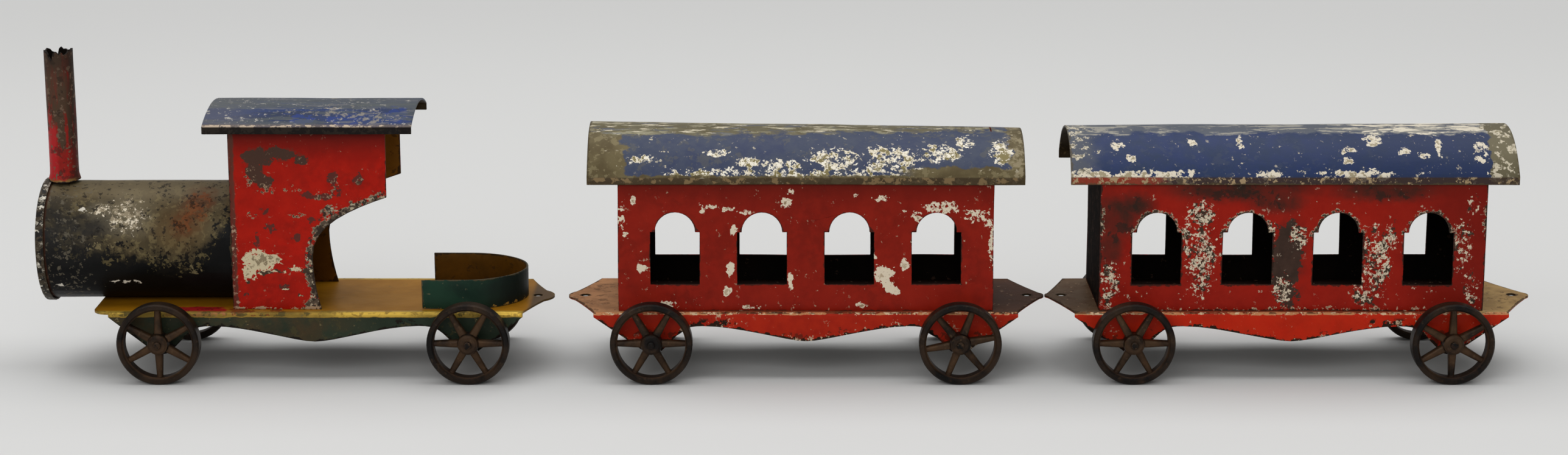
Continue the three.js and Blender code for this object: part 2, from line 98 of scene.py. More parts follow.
def add_node(tree, kind, inputs=None, **settings):
    made = tree.nodes.new(kind)
    for name, value in settings.items():
        setattr(made, name, value)
    for name, value in (inputs or {}).items():
        feed(tree, made.inputs[name], value)
    return made


def calc(tree, operation, *values, clamp=False):
    inputs = dict(enumerate(values))
    return add_node(tree, "ShaderNodeMath", inputs, operation=operation, use_clamp=clamp).outputs[0]


def calc_vector(tree, operation, *values, **named):
    inputs = {**dict(enumerate(values)), **named}
    made = add_node(tree, "ShaderNodeVectorMath", inputs, operation=operation)
    return made.outputs["Value" if operation == "LENGTH" else "Vector"]


def ramp(tree, value, low, high, smooth=True):
    kind = "SMOOTHSTEP" if smooth else "LINEAR"
    inputs = {"Value": value, "From Min": low, "From Max": high}
    return add_node(tree, "ShaderNodeMapRange", inputs, interpolation_type=kind).outputs[0]


def noise_node(tree, place, scale, detail, roughness=0.5, distortion=0.0):
    inputs = {"Vector": place, "Scale": scale, "Detail": detail, "Roughness": roughness,
              "Distortion": distortion}
    return add_node(tree, "ShaderNodeTexNoise", inputs)


def grain(tree, *settings):
    return noise_node(tree, *settings).outputs[0]


def tone(code):
    """A colour written as six hex digits, as it looks on the screen, in the linear values of a shader"""
    channels = [int(code[i:i + 2], 16) / 255 for i in (0, 2, 4)]
    linear = [c / 12.92 if c <= 0.04045 else ((c + 0.055) / 1.055) ** 2.4 for c in channels]
    return (*linear, 1.0)


print("node helpers ready")

# %% [markdown]
# ## Effects that many finishes share
# Old paint on tin wears in a few ways: it flakes off in small angular chips, it rubs away along edges, it
# goes patchy, and the sheet under it is never quite flat. Each of these is one node group with named inputs,
# so that every finish can use it with its own amount. All lengths in them are millimetres.

# %% Start a node group
FLOAT, VECTOR, COLOUR = "NodeSocketFloat", "NodeSocketVector", "NodeSocketColor"
MASK_OUT = {"Mask": FLOAT}
SEED_ACROSS = 17.3
SEED_UP = 5.9


def start_group(name, outputs, **inputs):
    tree = bpy.data.node_groups.new(name, "ShaderNodeTree")
    for direction, sockets in (("INPUT", inputs), ("OUTPUT", outputs)):
        for label, kind in sockets.items():
            tree.interface.new_socket(label.replace("_", " "), in_out=direction, socket_type=kind)
    entry = tree.nodes.new("NodeGroupInput")
    leave = tree.nodes.new("NodeGroupOutput")
    print("group started:", name)
    return tree, entry.outputs, leave.inputs


def spread(tree, place, size, seed):
    """Millimetre coordinates stretched so that one unit is the size wanted, and moved by the seed"""
    sized = calc_vector(tree, "SCALE", place, Scale=calc(tree, "DIVIDE", 1.0, size))
    shift = add_node(tree, "ShaderNodeCombineXYZ", {"X": calc(tree, "MULTIPLY", seed, SEED_ACROSS), "Y": seed,
                                                    "Z": calc(tree, "MULTIPLY", seed, SEED_UP)})
    return calc_vector(tree, "ADD", sized, shift.outputs[0])


# %% Flaked paint: shaken cells and two grains together, cut off where the wear says
CELL_SHAKE = (0.9, 0.9, 0.9)
BROAD_SHARE, SHARP_SHARE, CHIP_SHARE = 0.8, 0.6, 0.3
FLAKE_BASE = -0.35
WEAR_FALL, WEAR_START = -0.58, 0.93
FLAKE_BORDER = 0.02

flaked_paint, taken, given = start_group("Flaked paint", MASK_OUT, Place=VECTOR, Wear=FLOAT, Flake_Size=FLOAT,
                                         Seed=FLOAT)
spot = spread(flaked_paint, taken["Place"], taken["Flake Size"], taken["Seed"])
shake = noise_node(flaked_paint, spot, 1.7, 3.0).outputs["Color"]
shaken = calc_vector(flaked_paint, "MULTIPLY_ADD", shake, CELL_SHAKE, spot)
cells = add_node(flaked_paint, "ShaderNodeTexVoronoi", {"Vector": shaken, "Scale": 1.0}).outputs["Color"]
chip = add_node(flaked_paint, "ShaderNodeSeparateXYZ", {0: cells}).outputs[0]
broad = grain(flaked_paint, spot, 0.42, 2.0, 0.5, 0.4)
sharp = grain(flaked_paint, spot, 1.6, 5.0, 0.65, 0.4)
mixed = FLAKE_BASE
for layer, share in ((broad, BROAD_SHARE), (sharp, SHARP_SHARE), (chip, CHIP_SHARE)):
    mixed = calc(flaked_paint, "MULTIPLY_ADD", layer, share, mixed)
limit = calc(flaked_paint, "MULTIPLY_ADD", taken["Wear"], WEAR_FALL, WEAR_START)
limit_end = calc(flaked_paint, "ADD", limit, FLAKE_BORDER)
feed(flaked_paint, given["Mask"], ramp(flaked_paint, mixed, limit, limit_end))

# %% Rubbed edge: bare along cut edges, as far as the reach, with a ragged border
RAGGED_SIZE = 2.6
RUB_CORE = 0.7
NO_WIDTH = 0.001

rubbed_edge, taken, given = start_group("Rubbed edge", MASK_OUT, Place=VECTOR, Edge=FLOAT, Reach=FLOAT,
                                        Seed=FLOAT)
ragged = grain(rubbed_edge, spread(rubbed_edge, taken["Place"], RAGGED_SIZE, taken["Seed"]), 1.0, 4.0, 0.65)
patchy = ramp(rubbed_edge, ragged, 0.36, 0.68, smooth=False)
reach = calc(rubbed_edge, "MULTIPLY", taken["Reach"], calc(rubbed_edge, "MULTIPLY", patchy, 2.0))
inner = calc(rubbed_edge, "MULTIPLY", reach, RUB_CORE)
outside = ramp(rubbed_edge, taken["Edge"], inner, calc(rubbed_edge, "ADD", reach, NO_WIDTH))
feed(rubbed_edge, given["Mask"], calc(rubbed_edge, "SUBTRACT", 1.0, outside, clamp=True))

# %% Worn patch: a soft round place on the surface
PATCH_CORE, PATCH_END = 0.35, 1.25

worn_patch, taken, given = start_group("Worn patch", MASK_OUT, Place=VECTOR, Centre=VECTOR, Reach=VECTOR)
moved = calc_vector(worn_patch, "SUBTRACT", taken["Place"], taken["Centre"])
far = calc_vector(worn_patch, "LENGTH", calc_vector(worn_patch, "DIVIDE", moved, taken["Reach"]))
beyond = ramp(worn_patch, far, PATCH_CORE, PATCH_END)
feed(worn_patch, given["Mask"], calc(worn_patch, "SUBTRACT", 1.0, beyond, clamp=True))

# %% Patchy tone: broad and soft
patchy_tone, taken, given = start_group("Patchy tone", MASK_OUT, Place=VECTOR, Size=FLOAT, Seed=FLOAT)
spot = spread(patchy_tone, taken["Place"], taken["Size"], taken["Seed"])
feed(patchy_tone, given["Mask"], ramp(patchy_tone, grain(patchy_tone, spot, 1.0, 5.0, 0.6, 0.3), 0.33, 0.67))

# %% Worked tin: the height of the sheet, in broad dents and a fine brushed grain
DENT_SIZE, DENT_SEED = 7.0, 3.0
BRUSH_SIZE, BRUSH_SEED = 0.55, 8.0

worked_tin, taken, given = start_group("Worked tin", {"Height": FLOAT}, Place=VECTOR, Dents=FLOAT,
                                       Grain=FLOAT)
dents = grain(worked_tin, spread(worked_tin, taken["Place"], DENT_SIZE, DENT_SEED), 1.0, 2.0)
brush = grain(worked_tin, spread(worked_tin, taken["Place"], BRUSH_SIZE, BRUSH_SEED), 1.0, 3.0, 0.6)
height = calc(worked_tin, "MULTIPLY", dents, taken["Dents"])
feed(worked_tin, given["Height"], calc(worked_tin, "MULTIPLY_ADD", brush, taken["Grain"], height))

# %% Coat: one layer of paint, dirt or bare metal over another
coat_over, taken, given = start_group(
    "Coat over", {"Colour": COLOUR, "Roughness": FLOAT, "Metal": FLOAT}, Mask=FLOAT, Under_Colour=COLOUR,
    Under_Roughness=FLOAT, Under_Metal=FLOAT, Colour=COLOUR, Roughness=FLOAT, Metal=FLOAT)
MIX_SOCKETS = {"Colour": ("RGBA", 6, 2), "Roughness": ("FLOAT", 2, 0), "Metal": ("FLOAT", 2, 0)}
for label, (kind, first, out) in MIX_SOCKETS.items():
    layers = {0: taken["Mask"], first: taken["Under " + label], first + 1: taken[label]}
    feed(coat_over, given[label], add_node(coat_over, "ShaderNodeMix", layers, data_type=kind).outputs[out])
print("node groups:", len(bpy.data.node_groups))

# %% [markdown]
# ## A finish, built up as it was on the toy
# A finish starts from one paint and takes coats over it, each where its mask says: patchy tone, dirt, primer
# that shows where paint has flaked, and bare tin. Chips are also thinner than the paint around them, so their
# masks are kept and lower the surface in the bump. Masks combine like numbers: two multiply with a star, a
# bar takes the larger of two, and a tilde turns one round.

# %% Masks
class Mask:
    def __init__(self, finish, socket):
        self.finish = finish
        self.socket = socket

    def __mul__(self, other):
        return self.finish.calc("MULTIPLY", self, other)

    def __or__(self, other):
        return self.finish.calc("MAXIMUM", self, other)

    def __invert__(self):
        return self.finish.calc("SUBTRACT", 1.0, self, clamp=True)

    def ramp(self, low, high, smooth=True):
        return Mask(self.finish, ramp(self.finish.tree, self, low, high, smooth))

    def above(self, level, soft):
        return self.ramp(level - soft, level + soft)

    def ragged(self, level, soft, size, depth):
        """Like above, with a torn border that wanders by the depth"""
        finish = self.finish
        spot = spread(finish.tree, finish.place, size, finish.next_seed())
        swing = finish.calc("SUBTRACT", finish.grain(spot, 1.0, 5.0, 0.62), 0.5)
        return finish.calc("MULTIPLY_ADD", swing, 4 * depth, self).above(level, soft)


# %% The finish builder
SEED_STEP = 1.37
WANDER = 3.0
ANY_DEPTH = 1000
STREAK_STRETCH = (0.22, 1.0, 1.0)
GROUND_ROUGHNESS, GROUND_DEPTH = 0.68, 0.45
TIN_ROUGHNESS, TIN_DEPTH = 0.6, 0.7
RELIEF = 0.25 * MM
CREAM = "e0d2ba"
DARK_TIN = "2b211a"


class Finish:
    def __init__(self, name, colour, roughness, metal=0.0):
        self.material = bpy.data.materials.new(name)
        self.material.use_nodes = True
        self.tree = self.material.node_tree
        self.tree.nodes.clear()
        self.shader = self.node("ShaderNodeBsdfPrincipled")
        surface = self.node("ShaderNodeOutputMaterial")
        self.tree.links.new(self.shader.outputs["BSDF"], surface.inputs["Surface"])
        coords = self.node("ShaderNodeTexCoord").outputs["Object"]
        self.place = calc_vector(self.tree, "SCALE", coords, Scale=1 / MM)
        axes = self.node("ShaderNodeSeparateXYZ", {0: self.place}).outputs
        self.x, self.y, self.z = [Mask(self, axis) for axis in axes]
        wander = noise_node(self.tree, self.place, 0.5, 3.0, 0.6).outputs["Color"]
        self.shaken = calc_vector(self.tree, "MULTIPLY_ADD", wander, [WANDER] * 3, self.place)
        self.edge = self.attribute("edge_mm")
        self.look = [tone(colour), roughness, metal]
        self.sunk = None
        self.seed = float(len(bpy.data.materials))

    def node(self, kind, inputs=None, **settings):
        return add_node(self.tree, kind, inputs, **settings)

    def calc(self, operation, *values, clamp=False):
        return Mask(self, calc(self.tree, operation, *values, clamp=clamp))

    def grain(self, *settings):
        return Mask(self, grain(self.tree, *settings))

    def attribute(self, name):
        return Mask(self, self.node("ShaderNodeAttribute", attribute_name=name).outputs["Fac"])

    def group(self, tree, **inputs):
        named = {label.replace("_", " "): value for label, value in inputs.items()}
        return Mask(self, self.node("ShaderNodeGroup", named, node_tree=tree).outputs[0])

    def next_seed(self):
        self.seed += SEED_STEP
        return self.seed

    def patchy(self, size):
        return self.group(patchy_tone, Place=self.place, Size=size, Seed=self.next_seed())

    def flakes(self, wear, size, seed=None, place=None):
        return self.group(flaked_paint, Place=place or self.place, Wear=wear, Flake_Size=size,
                          Seed=seed or self.next_seed())

    def chipped(self, wear, size, rim, core, step=0.16, metal=0.15):
        """Flakes that show the ground coat at their borders and the metal inside it"""
        seed = self.next_seed()
        self.coat(self.flakes(wear, size, seed), rim, GROUND_ROUGHNESS, sinks=GROUND_DEPTH)
        deeper = self.calc("SUBTRACT", wear, step)
        self.coat(self.flakes(deeper, size, seed), core, TIN_ROUGHNESS, metal, sinks=TIN_DEPTH)

    def streaks(self, wear, size):
        """Flakes drawn out along the train, as on a crown that hands have rubbed"""
        drawn = self.node("ShaderNodeMapping", {"Vector": self.place, "Scale": STREAK_STRETCH}).outputs[0]
        return self.flakes(wear, size, place=drawn)

    def rubbed(self, reach):
        return self.group(rubbed_edge, Place=self.place, Edge=self.edge, Reach=reach, Seed=self.next_seed())

    def patch(self, centre, reach):
        shifted = [value + WANDER / 2 for value in centre]
        return self.group(worn_patch, Place=self.shaken, Centre=shifted, Reach=reach)

    def on_side(self, *spots):
        """Several worn patches on a surface seen from the side: x, z, half width, half height of each"""
        patches = [self.patch((x, 0, z), (wide, ANY_DEPTH, high)) for x, z, wide, high in spots]
        total = patches[0]
        for other in patches[1:]:
            total = total | other
        return total

    def across(self):
        return self.calc("ABSOLUTE", self.y)

    def coat(self, mask, colour, roughness, metal=0.0, sinks=0.0):
        made = self.node("ShaderNodeGroup", node_tree=coat_over)
        for socket, value in zip(made.inputs, (mask, *self.look, tone(colour), roughness, metal)):
            feed(self.tree, socket, value)
        self.look = list(made.outputs)
        if sinks:
            self.sunk = self.sunk | mask * sinks if self.sunk else mask * sinks

    def done(self, dents=1.0, grain_height=0.25, bump=0.35, shine=0.08):
        for label, value in zip(("Base Color", "Roughness", "Metallic"), self.look):
            feed(self.tree, self.shader.inputs[label], value)
        height = self.group(worked_tin, Place=self.place, Dents=dents, Grain=grain_height)
        if self.sunk:
            height = self.calc("SUBTRACT", height, self.sunk)
        relief = self.node("ShaderNodeBump", {"Height": height, "Strength": bump, "Distance": RELIEF})
        feed(self.tree, self.shader.inputs["Normal"], relief.outputs["Normal"])
        self.shader.inputs["Specular IOR Level"].default_value = shine
        print("finish made:", self.material.name)
        return self.material


# %% [markdown]
# ## Dark finishes inside the coaches and under the roofs
# The inside of a coach is black-brown, partly paint and partly painted shade, so its windows look dark. The
# undersides of roofs and decks were never painted: they are dull, brown, oxidised tin, made darker as painted
# shade.

# %% Inside and underside finishes
def black_shaded_inside():
    # Black-brown paint, partly standing in as painted shade inside the coach.
    finish = Finish("coach_inside_black_painted_shade", "12100d", 0.8)
    finish.coat(finish.patchy(9) * 0.6, "1d1511", 0.85)
    finish.coat(finish.flakes(0.3, 1.2), "45342a", 0.8, sinks=0.5)
    return finish.done(shine=0.03)


def shaded_bare_underside():
    # Dull brown tin, partly darkened as painted shade.
    finish = Finish("bare_tin_underside_painted_shade", "3b3020", 0.5, 0.45)
    finish.coat(finish.patchy(8), "271d12", 0.62, 0.25)
    finish.coat(finish.flakes(0.35, 2.2) * 0.7, "66543a", 0.5, 0.5)
    return finish.done()


def worn_end():
    finish = Finish("coach_end_black", "100b09", 0.9)
    finish.coat(finish.patchy(11) * 0.7, "1e130e", 0.9)
    finish.coat(finish.flakes(0.5, 1.8) * 0.7, "2e1e16", 0.85)
    finish.coat(finish.flakes(0.42, 1.5) * finish.patchy(10) * 0.7, "4a382b", 0.8, sinks=0.6)
    finish.coat(finish.rubbed(0.8) * 0.8, "5a2216", 0.7)
    return finish.done(shine=0.02)


inside_black = black_shaded_inside()
end_black = worn_end()
underside = shaded_bare_underside()

# %% [markdown]
# ## Red coach walls
# Both coaches were brushed in the same brick red over a cream ground coat. The first has lost a few clear
# chips. The second is far more worn: cream and dark speckle covers the posts between its windows, and
# brown tin shows through on one post. Each place is a patch on the wall, and the flakes fill it with torn
# edges.

# %% Red of the first coach
def first_coach_red():
    finish = Finish("first_coach_red", "8c1d10", 0.44)
    finish.coat(finish.patchy(26) * 0.7, "79180c", 0.5)
    finish.coat(finish.patchy(5) * 0.3, "9b2513", 0.42)
    # Darker towards the top of the wall: painted shade under the roof's eave.
    finish.coat(finish.z.above(57, 6) * 0.7, "50120a", 0.55)
    finish.coat(finish.patchy(3) * finish.patchy(17) * 0.45, "5c140a", 0.55)
    over_windows = finish.on_side(
        (-26.6, 52.6, 1.5, 2.4), (-23.2, 53.4, 3.4, 0.9), (-18.6, 52.5, 3.2, 0.8), (-14, 51.6, 3.4, 0.8),
        (-1.4, 54.7, 2.4, 2.2), (0.2, 57.8, 1.2, 1.1), (19.6, 56.6, 1.4, 1.2), (27.4, 55.8, 3.6, 1.7),
        (34.8, 52, 1.2, 1.1))
    last_window = finish.on_side(
        (45.4, 53.2, 8.4, 2.6), (38.8, 50.6, 2.6, 2.6), (56.4, 50.6, 5.6, 2.6), (60.4, 48, 2, 3.4))
    posts = finish.on_side(
        (-45.2, 34.2, 2.2, 2.2), (-17.4, 46.2, 1.5, 2.6), (-18.1, 34, 1.4, 3.4), (-19.4, 27.2, 2, 2),
        (-0.1, 30.2, 1.5, 3.2), (-28.2, 44.3, 1.2, 1.2), (34.7, 35.6, 1.6, 2.6))
    largest = finish.on_side(
        (28.3, 32.9, 4.4, 3.8), (29.6, 28.8, 2.4, 3.2), (31.8, 27.3, 1.9, 1.4), (25.6, 37.8, 1.1, 1.1))
    ends = finish.on_side(
        (-47.3, 55.4, 1.2, 2.4), (-51.2, 50, 1.2, 6), (-50, 44.8, 1.3, 1.2), (61, 40, 1.2, 7))
    foot = finish.on_side((-12, 22.3, 6, 1), (21.6, 22.9, 2, 1.2), (50, 22, 5, 0.9), (-38, 23, 5, 1.6))
    finish.coat(finish.rubbed(0.3) * 0.8, DARK_TIN, 0.6, 0.2)
    finish.chipped((posts | largest) * 1.15, 1.5, CREAM, "bba88d", 0.6, 0)
    finish.chipped((over_windows | last_window | ends | foot) * 0.88, 0.9, CREAM, "9a8468", 0.4, 0)
    stray = finish.flakes(0.28, 0.8) * finish.patchy(14)
    finish.coat(stray, "bfa88d", 0.7, sinks=0.8)
    return finish.done(dents=1.4)


first_red = first_coach_red()

# %% Red of the second coach
def second_coach_red():
    finish = Finish("second_coach_red", "951a0d", 0.44)
    finish.coat(finish.patchy(22) * 0.7, "7e160b", 0.5)
    finish.coat(finish.patchy(4) * 0.35, "a52414", 0.42)
    # Darker towards the top of the wall: painted shade under the roof's eave.
    finish.coat(finish.z.above(60, 4) * 0.6, "4c140b", 0.55)
    finish.coat(finish.x.above(190, 16) * 0.6, "62150c", 0.5)
    stains = finish.on_side(
        (98.5, 50, 8.6, 8), (104, 54, 7, 4.6), (97, 41, 4.6, 7), (136, 58.8, 26, 4.6), (147, 55.6, 10, 5),
        (180, 58.4, 18, 4))
    finish.coat(stains * ~(finish.patchy(7) * 0.35) * 0.95, "30221a", 0.55)
    finish.coat(finish.flakes(stains * 0.62, 2.6) * 0.7, "2b211b", 0.6)
    bare_post = finish.on_side((150.6, 36, 6.6, 17))
    finish.coat(finish.flakes(bare_post * 1.3, 2.4) * 0.95, "3e342c", 0.62, 0.15, sinks=0.4)
    finish.coat(bare_post * finish.patchy(5) * 0.6, "2b221c", 0.62, 0.1)
    first_post = finish.on_side((124.4, 37, 6.6, 17), (124, 51, 6.5, 6), (120.6, 44, 3, 7))
    second_post = finish.on_side((154, 44, 4, 5), (150, 27.6, 4.6, 6), (145.6, 46, 2.2, 4))
    third_post = finish.on_side((178, 36.5, 6.4, 16), (174, 27, 4.6, 6), (182, 43, 3, 7))
    last_post = finish.on_side((203.6, 41, 5, 12), (206.4, 54, 3, 4.6), (207, 28, 3, 8))
    corner = finish.on_side((97, 29.5, 4.4, 9), (96, 24, 3.4, 3.4))
    speckled = first_post | second_post | third_post | last_post * 0.85 | corner
    near_edge = ~finish.edge.ramp(0.4, 2.4)
    near_arch = near_edge * finish.z.above(43, 3) * ~finish.z.above(55, 1.5)
    clumps = speckled * ~(finish.patchy(4.5) * 0.3)
    finish.coat(finish.flakes(clumps * 0.86, 1.8), "3f3127", 0.62, 0.15, sinks=0.5)
    finish.chipped(clumps * 0.8, 0.62, "d8c9b0", "54453a", 0.3)
    finish.coat(finish.flakes(speckled * 0.5, 0.9), "8c2114", 0.5)
    finish.chipped(near_arch * 0.84, 0.9, "b7a68d", "43352a", 0.12)
    foot = ~finish.z.ramp(21.3, 24)
    finish.chipped(foot * 0.6, 0.9, "c2a98c", "4b3526", 0.16)
    finish.coat(finish.rubbed(0.5) * 0.85, DARK_TIN, 0.6, 0.2)
    stray = finish.flakes(0.26, 0.9) * finish.patchy(12)
    finish.coat(stray, "cdbca3", 0.7, sinks=0.6)
    return finish.done(dents=1.4)


second_red = second_coach_red()

# %% [markdown]
# ## Blue coach roofs
# The roofs were painted blue-grey over cream over tin. On the first roof the paint is gone from both
# ends, the crown is rubbed grey and lightened by a painted highlight, and big cream flakes run along its
# lower half, above a lip darkened as painted shade. On the second the blue is deeper, the crown is greyed the
# same way, and the cream shows mainly along the eave and at the rear end.

# %% Roof of the first coach
def first_roof_blue():
    finish = Finish("first_roof_blue", "3a4258", 0.5)
    finish.coat(finish.patchy(16) * 0.8, "2f3857", 0.45)
    finish.coat(finish.patchy(3) * 0.4, "4c525f", 0.55)
    finish.coat(finish.flakes(0.5, 1.6) * 0.45, "5b5a54", 0.55)
    flaked = finish.on_side(
        (-45.4, 67.3, 6.5, 1.5), (-21.8, 69, 6, 1.4), (-12.5, 66.6, 6.4, 2.2), (-3.8, 65.8, 8.4, 2.8),
        (13, 67.4, 10.5, 4.6), (29.8, 67.4, 11.5, 5.2), (45.4, 68.6, 9, 3.2), (53, 71.2, 5, 1.6),
        (64, 68.8, 5.4, 4.2))
    lower = ~finish.z.above(65.6, 1.2) * finish.x.above(-42, 5) * ~finish.x.above(40, 4)
    places = flaked * 0.8 | lower * 0.74
    finish.chipped(places, 1.6, "e6dcc6", "81764f", 0.16, 0.25)
    finish.coat(finish.flakes(places * 0.72, 0.8), "efe8d8", 0.7, sinks=0.7)
    bare_ends = ~finish.x.ragged(-49.6, 0.8, 6, 4.5) | finish.x.ragged(66, 0.5, 5, 3)
    low_rear = finish.x.above(35, 4) * ~finish.z.ragged(65, 0.3, 4, 0.9)
    under_eave = ~finish.z.ragged(63.1, 0.25, 2.4, 0.6)
    bare = bare_ends | low_rear | under_eave
    finish.coat(bare, "665b3e", 0.46, 0.3, sinks=0.6)
    finish.coat(bare * finish.patchy(7) * 0.8, "4e4229", 0.52, 0.3)
    finish.coat(bare * finish.flakes(0.58, 2.4) * 0.6, "7f7455", 0.5, 0.3)
    finish.coat(finish.x.above(66, 2) * finish.flakes(0.62, 1.4) * 0.7, "94886c", 0.6)
    # The crown is greyed partly by rubbed paint and partly as a painted highlight where the curve meets the
    # light.
    crown = finish.z.ragged(73.5, 0.3, 9, 1.1)
    finish.coat(crown * 0.88, "726b50", 0.48, 0.2)
    finish.coat(crown * finish.patchy(6) * 0.8, "5b5237", 0.5, 0.25)
    finish.coat(crown * finish.streaks(0.62, 1.6) * 0.75, "98937a", 0.55, 0.1)
    finish.coat(crown * finish.streaks(0.5, 1.2) * 0.6, "4c5468", 0.5)
    rubbed_spots = finish.streaks((crown | bare * 0.6) * 0.5, 0.8)
    stray = finish.flakes(0.31, 0.9) * finish.patchy(10)
    finish.coat(rubbed_spots | stray, "c6bca4", 0.66)
    # The folded-down lip is darkened as painted shade, with tan flakes of wear on it.
    lip = ~finish.z.above(62.5, 0.25)
    finish.coat(lip * 0.7, "3a2b1d", 0.58, 0.25)
    finish.coat(lip * finish.flakes(0.62, 1.6), "7d6848", 0.6, 0.2)
    finish.coat(finish.rubbed(0.5) * 0.8, "40351f", 0.5, 0.3)
    return finish.done(dents=2.2, shine=0.2)


first_roof = first_roof_blue()

# %% Roof of the second coach
def second_roof_blue():
    finish = Finish("second_roof_blue", "1f3056", 0.46)
    finish.coat(finish.patchy(18) * 0.7, "2a374f", 0.5)
    finish.coat(finish.patchy(5) * 0.5, "223264", 0.42)
    finish.coat(finish.flakes(0.5, 1.8) * 0.4, "3c4458", 0.52)
    finish.coat(finish.x.above(160, 30) * 0.6, "1b2a4c", 0.46)
    left_end = ~finish.x.ragged(92, 4, 5, 2.5)
    finish.coat(left_end * 0.6, "5f6162", 0.55, 0.1)
    flaked = finish.on_side(
        (177, 72, 3.8, 2), (169, 69.7, 3.8, 1), (168.5, 67, 2.2, 1.1), (185.5, 69.5, 3.2, 1.2),
        (196.6, 70.6, 1.5, 3.6), (191.4, 68.4, 2.4, 1.1), (209, 69, 3.4, 4.4), (122, 71.5, 2, 1),
        (136.5, 71, 1.6, 2.4), (99, 70.8, 3.4, 2), (103, 67.5, 2.4, 1.4))
    eave_line = ~finish.z.above(64.7, 1)
    front_eave = eave_line * ~finish.x.above(124, 5)
    rear_eave = eave_line * finish.on_side((145, 64, 6, 4), (170, 64, 16, 4))
    eave = front_eave | rear_eave | eave_line * 0.45
    crown = finish.z.ragged(73.4, 0.3, 7, 0.8)
    rear_crown = crown * finish.x.above(166, 12)
    bare_end = finish.x.ragged(212, 0.5, 5, 3)
    # The crown is greyed partly by rubbed paint and partly as a painted highlight.
    finish.coat(crown * 0.85, "5c6067", 0.5, 0.15)
    finish.coat(crown * finish.streaks(0.66, 1.4), "96938a", 0.6)
    finish.coat(finish.streaks(rear_crown * 0.74, 1.2), "d5ccb9", 0.66)
    finish.coat(bare_end, "655e48", 0.48, 0.3, sinks=0.5)
    finish.chipped(flaked * 0.88 | eave * 0.92, 1.3, "ddd3bf", "a09478", 0.34, 0.1)
    finish.chipped(bare_end * 0.6, 2.2, "c6bca6", "8f866c", 0.2, 0.2)
    finish.chipped(left_end * 0.6, 1.4, "d0c6b0", "6f6a5c", 0.16, 0.1)
    finish.coat(finish.flakes(0.32, 0.9) * finish.patchy(11), "c9bea8", 0.66, sinks=0.5)
    lip = ~finish.z.above(62.6, 0.25)
    finish.coat(lip * 0.9, "3f2f25", 0.58, 0.2)
    red_lip = lip * ~finish.x.ragged(112, 6, 6, 6)
    finish.coat(red_lip * 0.9, "8c2f18", 0.5)
    finish.coat(lip * finish.flakes(0.55, 1.1), "a58e6b", 0.65)
    finish.coat(finish.rubbed(0.5) * 0.7, "51462f", 0.5, 0.3)
    return finish.done(dents=2.2, shine=0.2)


second_roof = second_roof_blue()

# %% [markdown]
# ## Coach frames
# One sheet makes the deck and the two valances that hang from it. The valances are orange-red with dark
# rubbed lower edges, the deck ends are bare brown tin, and a pale line along the fold is worn paint and
# partly a painted highlight.

# %% Coach frame finish
def coach_frame_finish(coach, name, orange, deck_front, deck_rear):
    low, high = [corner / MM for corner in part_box(coach + "_left_side")]
    body_front, body_rear, body_half = low.x, high.x, -low.y
    finish = Finish(name, orange, 0.45)
    finish.coat(finish.patchy(15) * 0.6, "8c1c0b", 0.5)
    finish.coat(finish.patchy(4) * 0.35, "bb2f12", 0.42)
    deck = finish.z.above(20.6, 0.12)
    front_deck = ~finish.x.above(body_front + 2.4, 2.5)
    rear_deck = finish.x.above(body_rear - 2.6, 2.5)
    finish.coat(deck * 0.9, "8a4029", 0.5, 0.1)
    finish.coat(front_deck * deck, deck_front, 0.46, 0.1)
    finish.coat(rear_deck * deck, deck_rear, 0.5, 0.1)
    finish.coat(deck * finish.patchy(6) * 0.4, "5b3a25", 0.56, 0.2)
    finish.coat(deck * finish.flakes(0.5, 1.6) * 0.5, "4d3322", 0.6, 0.2)
    between_ends = finish.x.above(body_front + 0.3, 0.1) * ~finish.x.above(body_rear - 0.3, 0.1)
    # The deck inside the coach's walls is near-black like the inside: paint, partly painted shade.
    floor = deck * ~finish.across().above(body_half - 0.3, 0.1) * between_ends
    finish.coat(floor * 0.95, "17120e", 0.8)
    # The pale flakes along the fold are worn paint and partly a painted highlight along the bend.
    fold = finish.z.above(20.2, 0.3) * finish.across().above(21.9, 0.3)
    finish.coat(finish.flakes(fold * 0.84, 2.4), "bd7f55", 0.5, 0.1, sinks=0.3)
    finish.coat(finish.flakes(fold * 0.6, 1), "d2b592", 0.6, 0.1, sinks=0.4)
    lower_half = ~finish.z.ramp(13, 19.6)
    below_fold = ~finish.z.above(19, 0.6)
    finish.coat(finish.flakes(lower_half * 0.62, 2) * 0.7, "4a2114", 0.6, 0.1)
    finish.coat(finish.rubbed(0.7) * below_fold, "2a1d14", 0.6, 0.2, sinks=0.4)
    near_edge = ~finish.edge.ramp(0.4, 2.6) * below_fold
    worn_edge = near_edge * finish.patchy(12)
    finish.chipped(worn_edge * 0.62, 1, "c3ab8e", "3c2c20", 0.16)
    finish.coat(finish.rubbed(0.5) * deck * 0.8, "3d2a1c", 0.6, 0.2)
    finish.coat(finish.flakes(0.32, 0.9) * finish.patchy(9), "c2a184", 0.66, sinks=0.6)
    return finish.done(dents=1.6)


first_frame = coach_frame_finish("coach_1", "first_coach_frame_orange", "a42210", "b88256", "4e3021")
second_frame = coach_frame_finish("coach_2", "second_coach_frame_orange", "bd250d", "66503a", "b8965f")
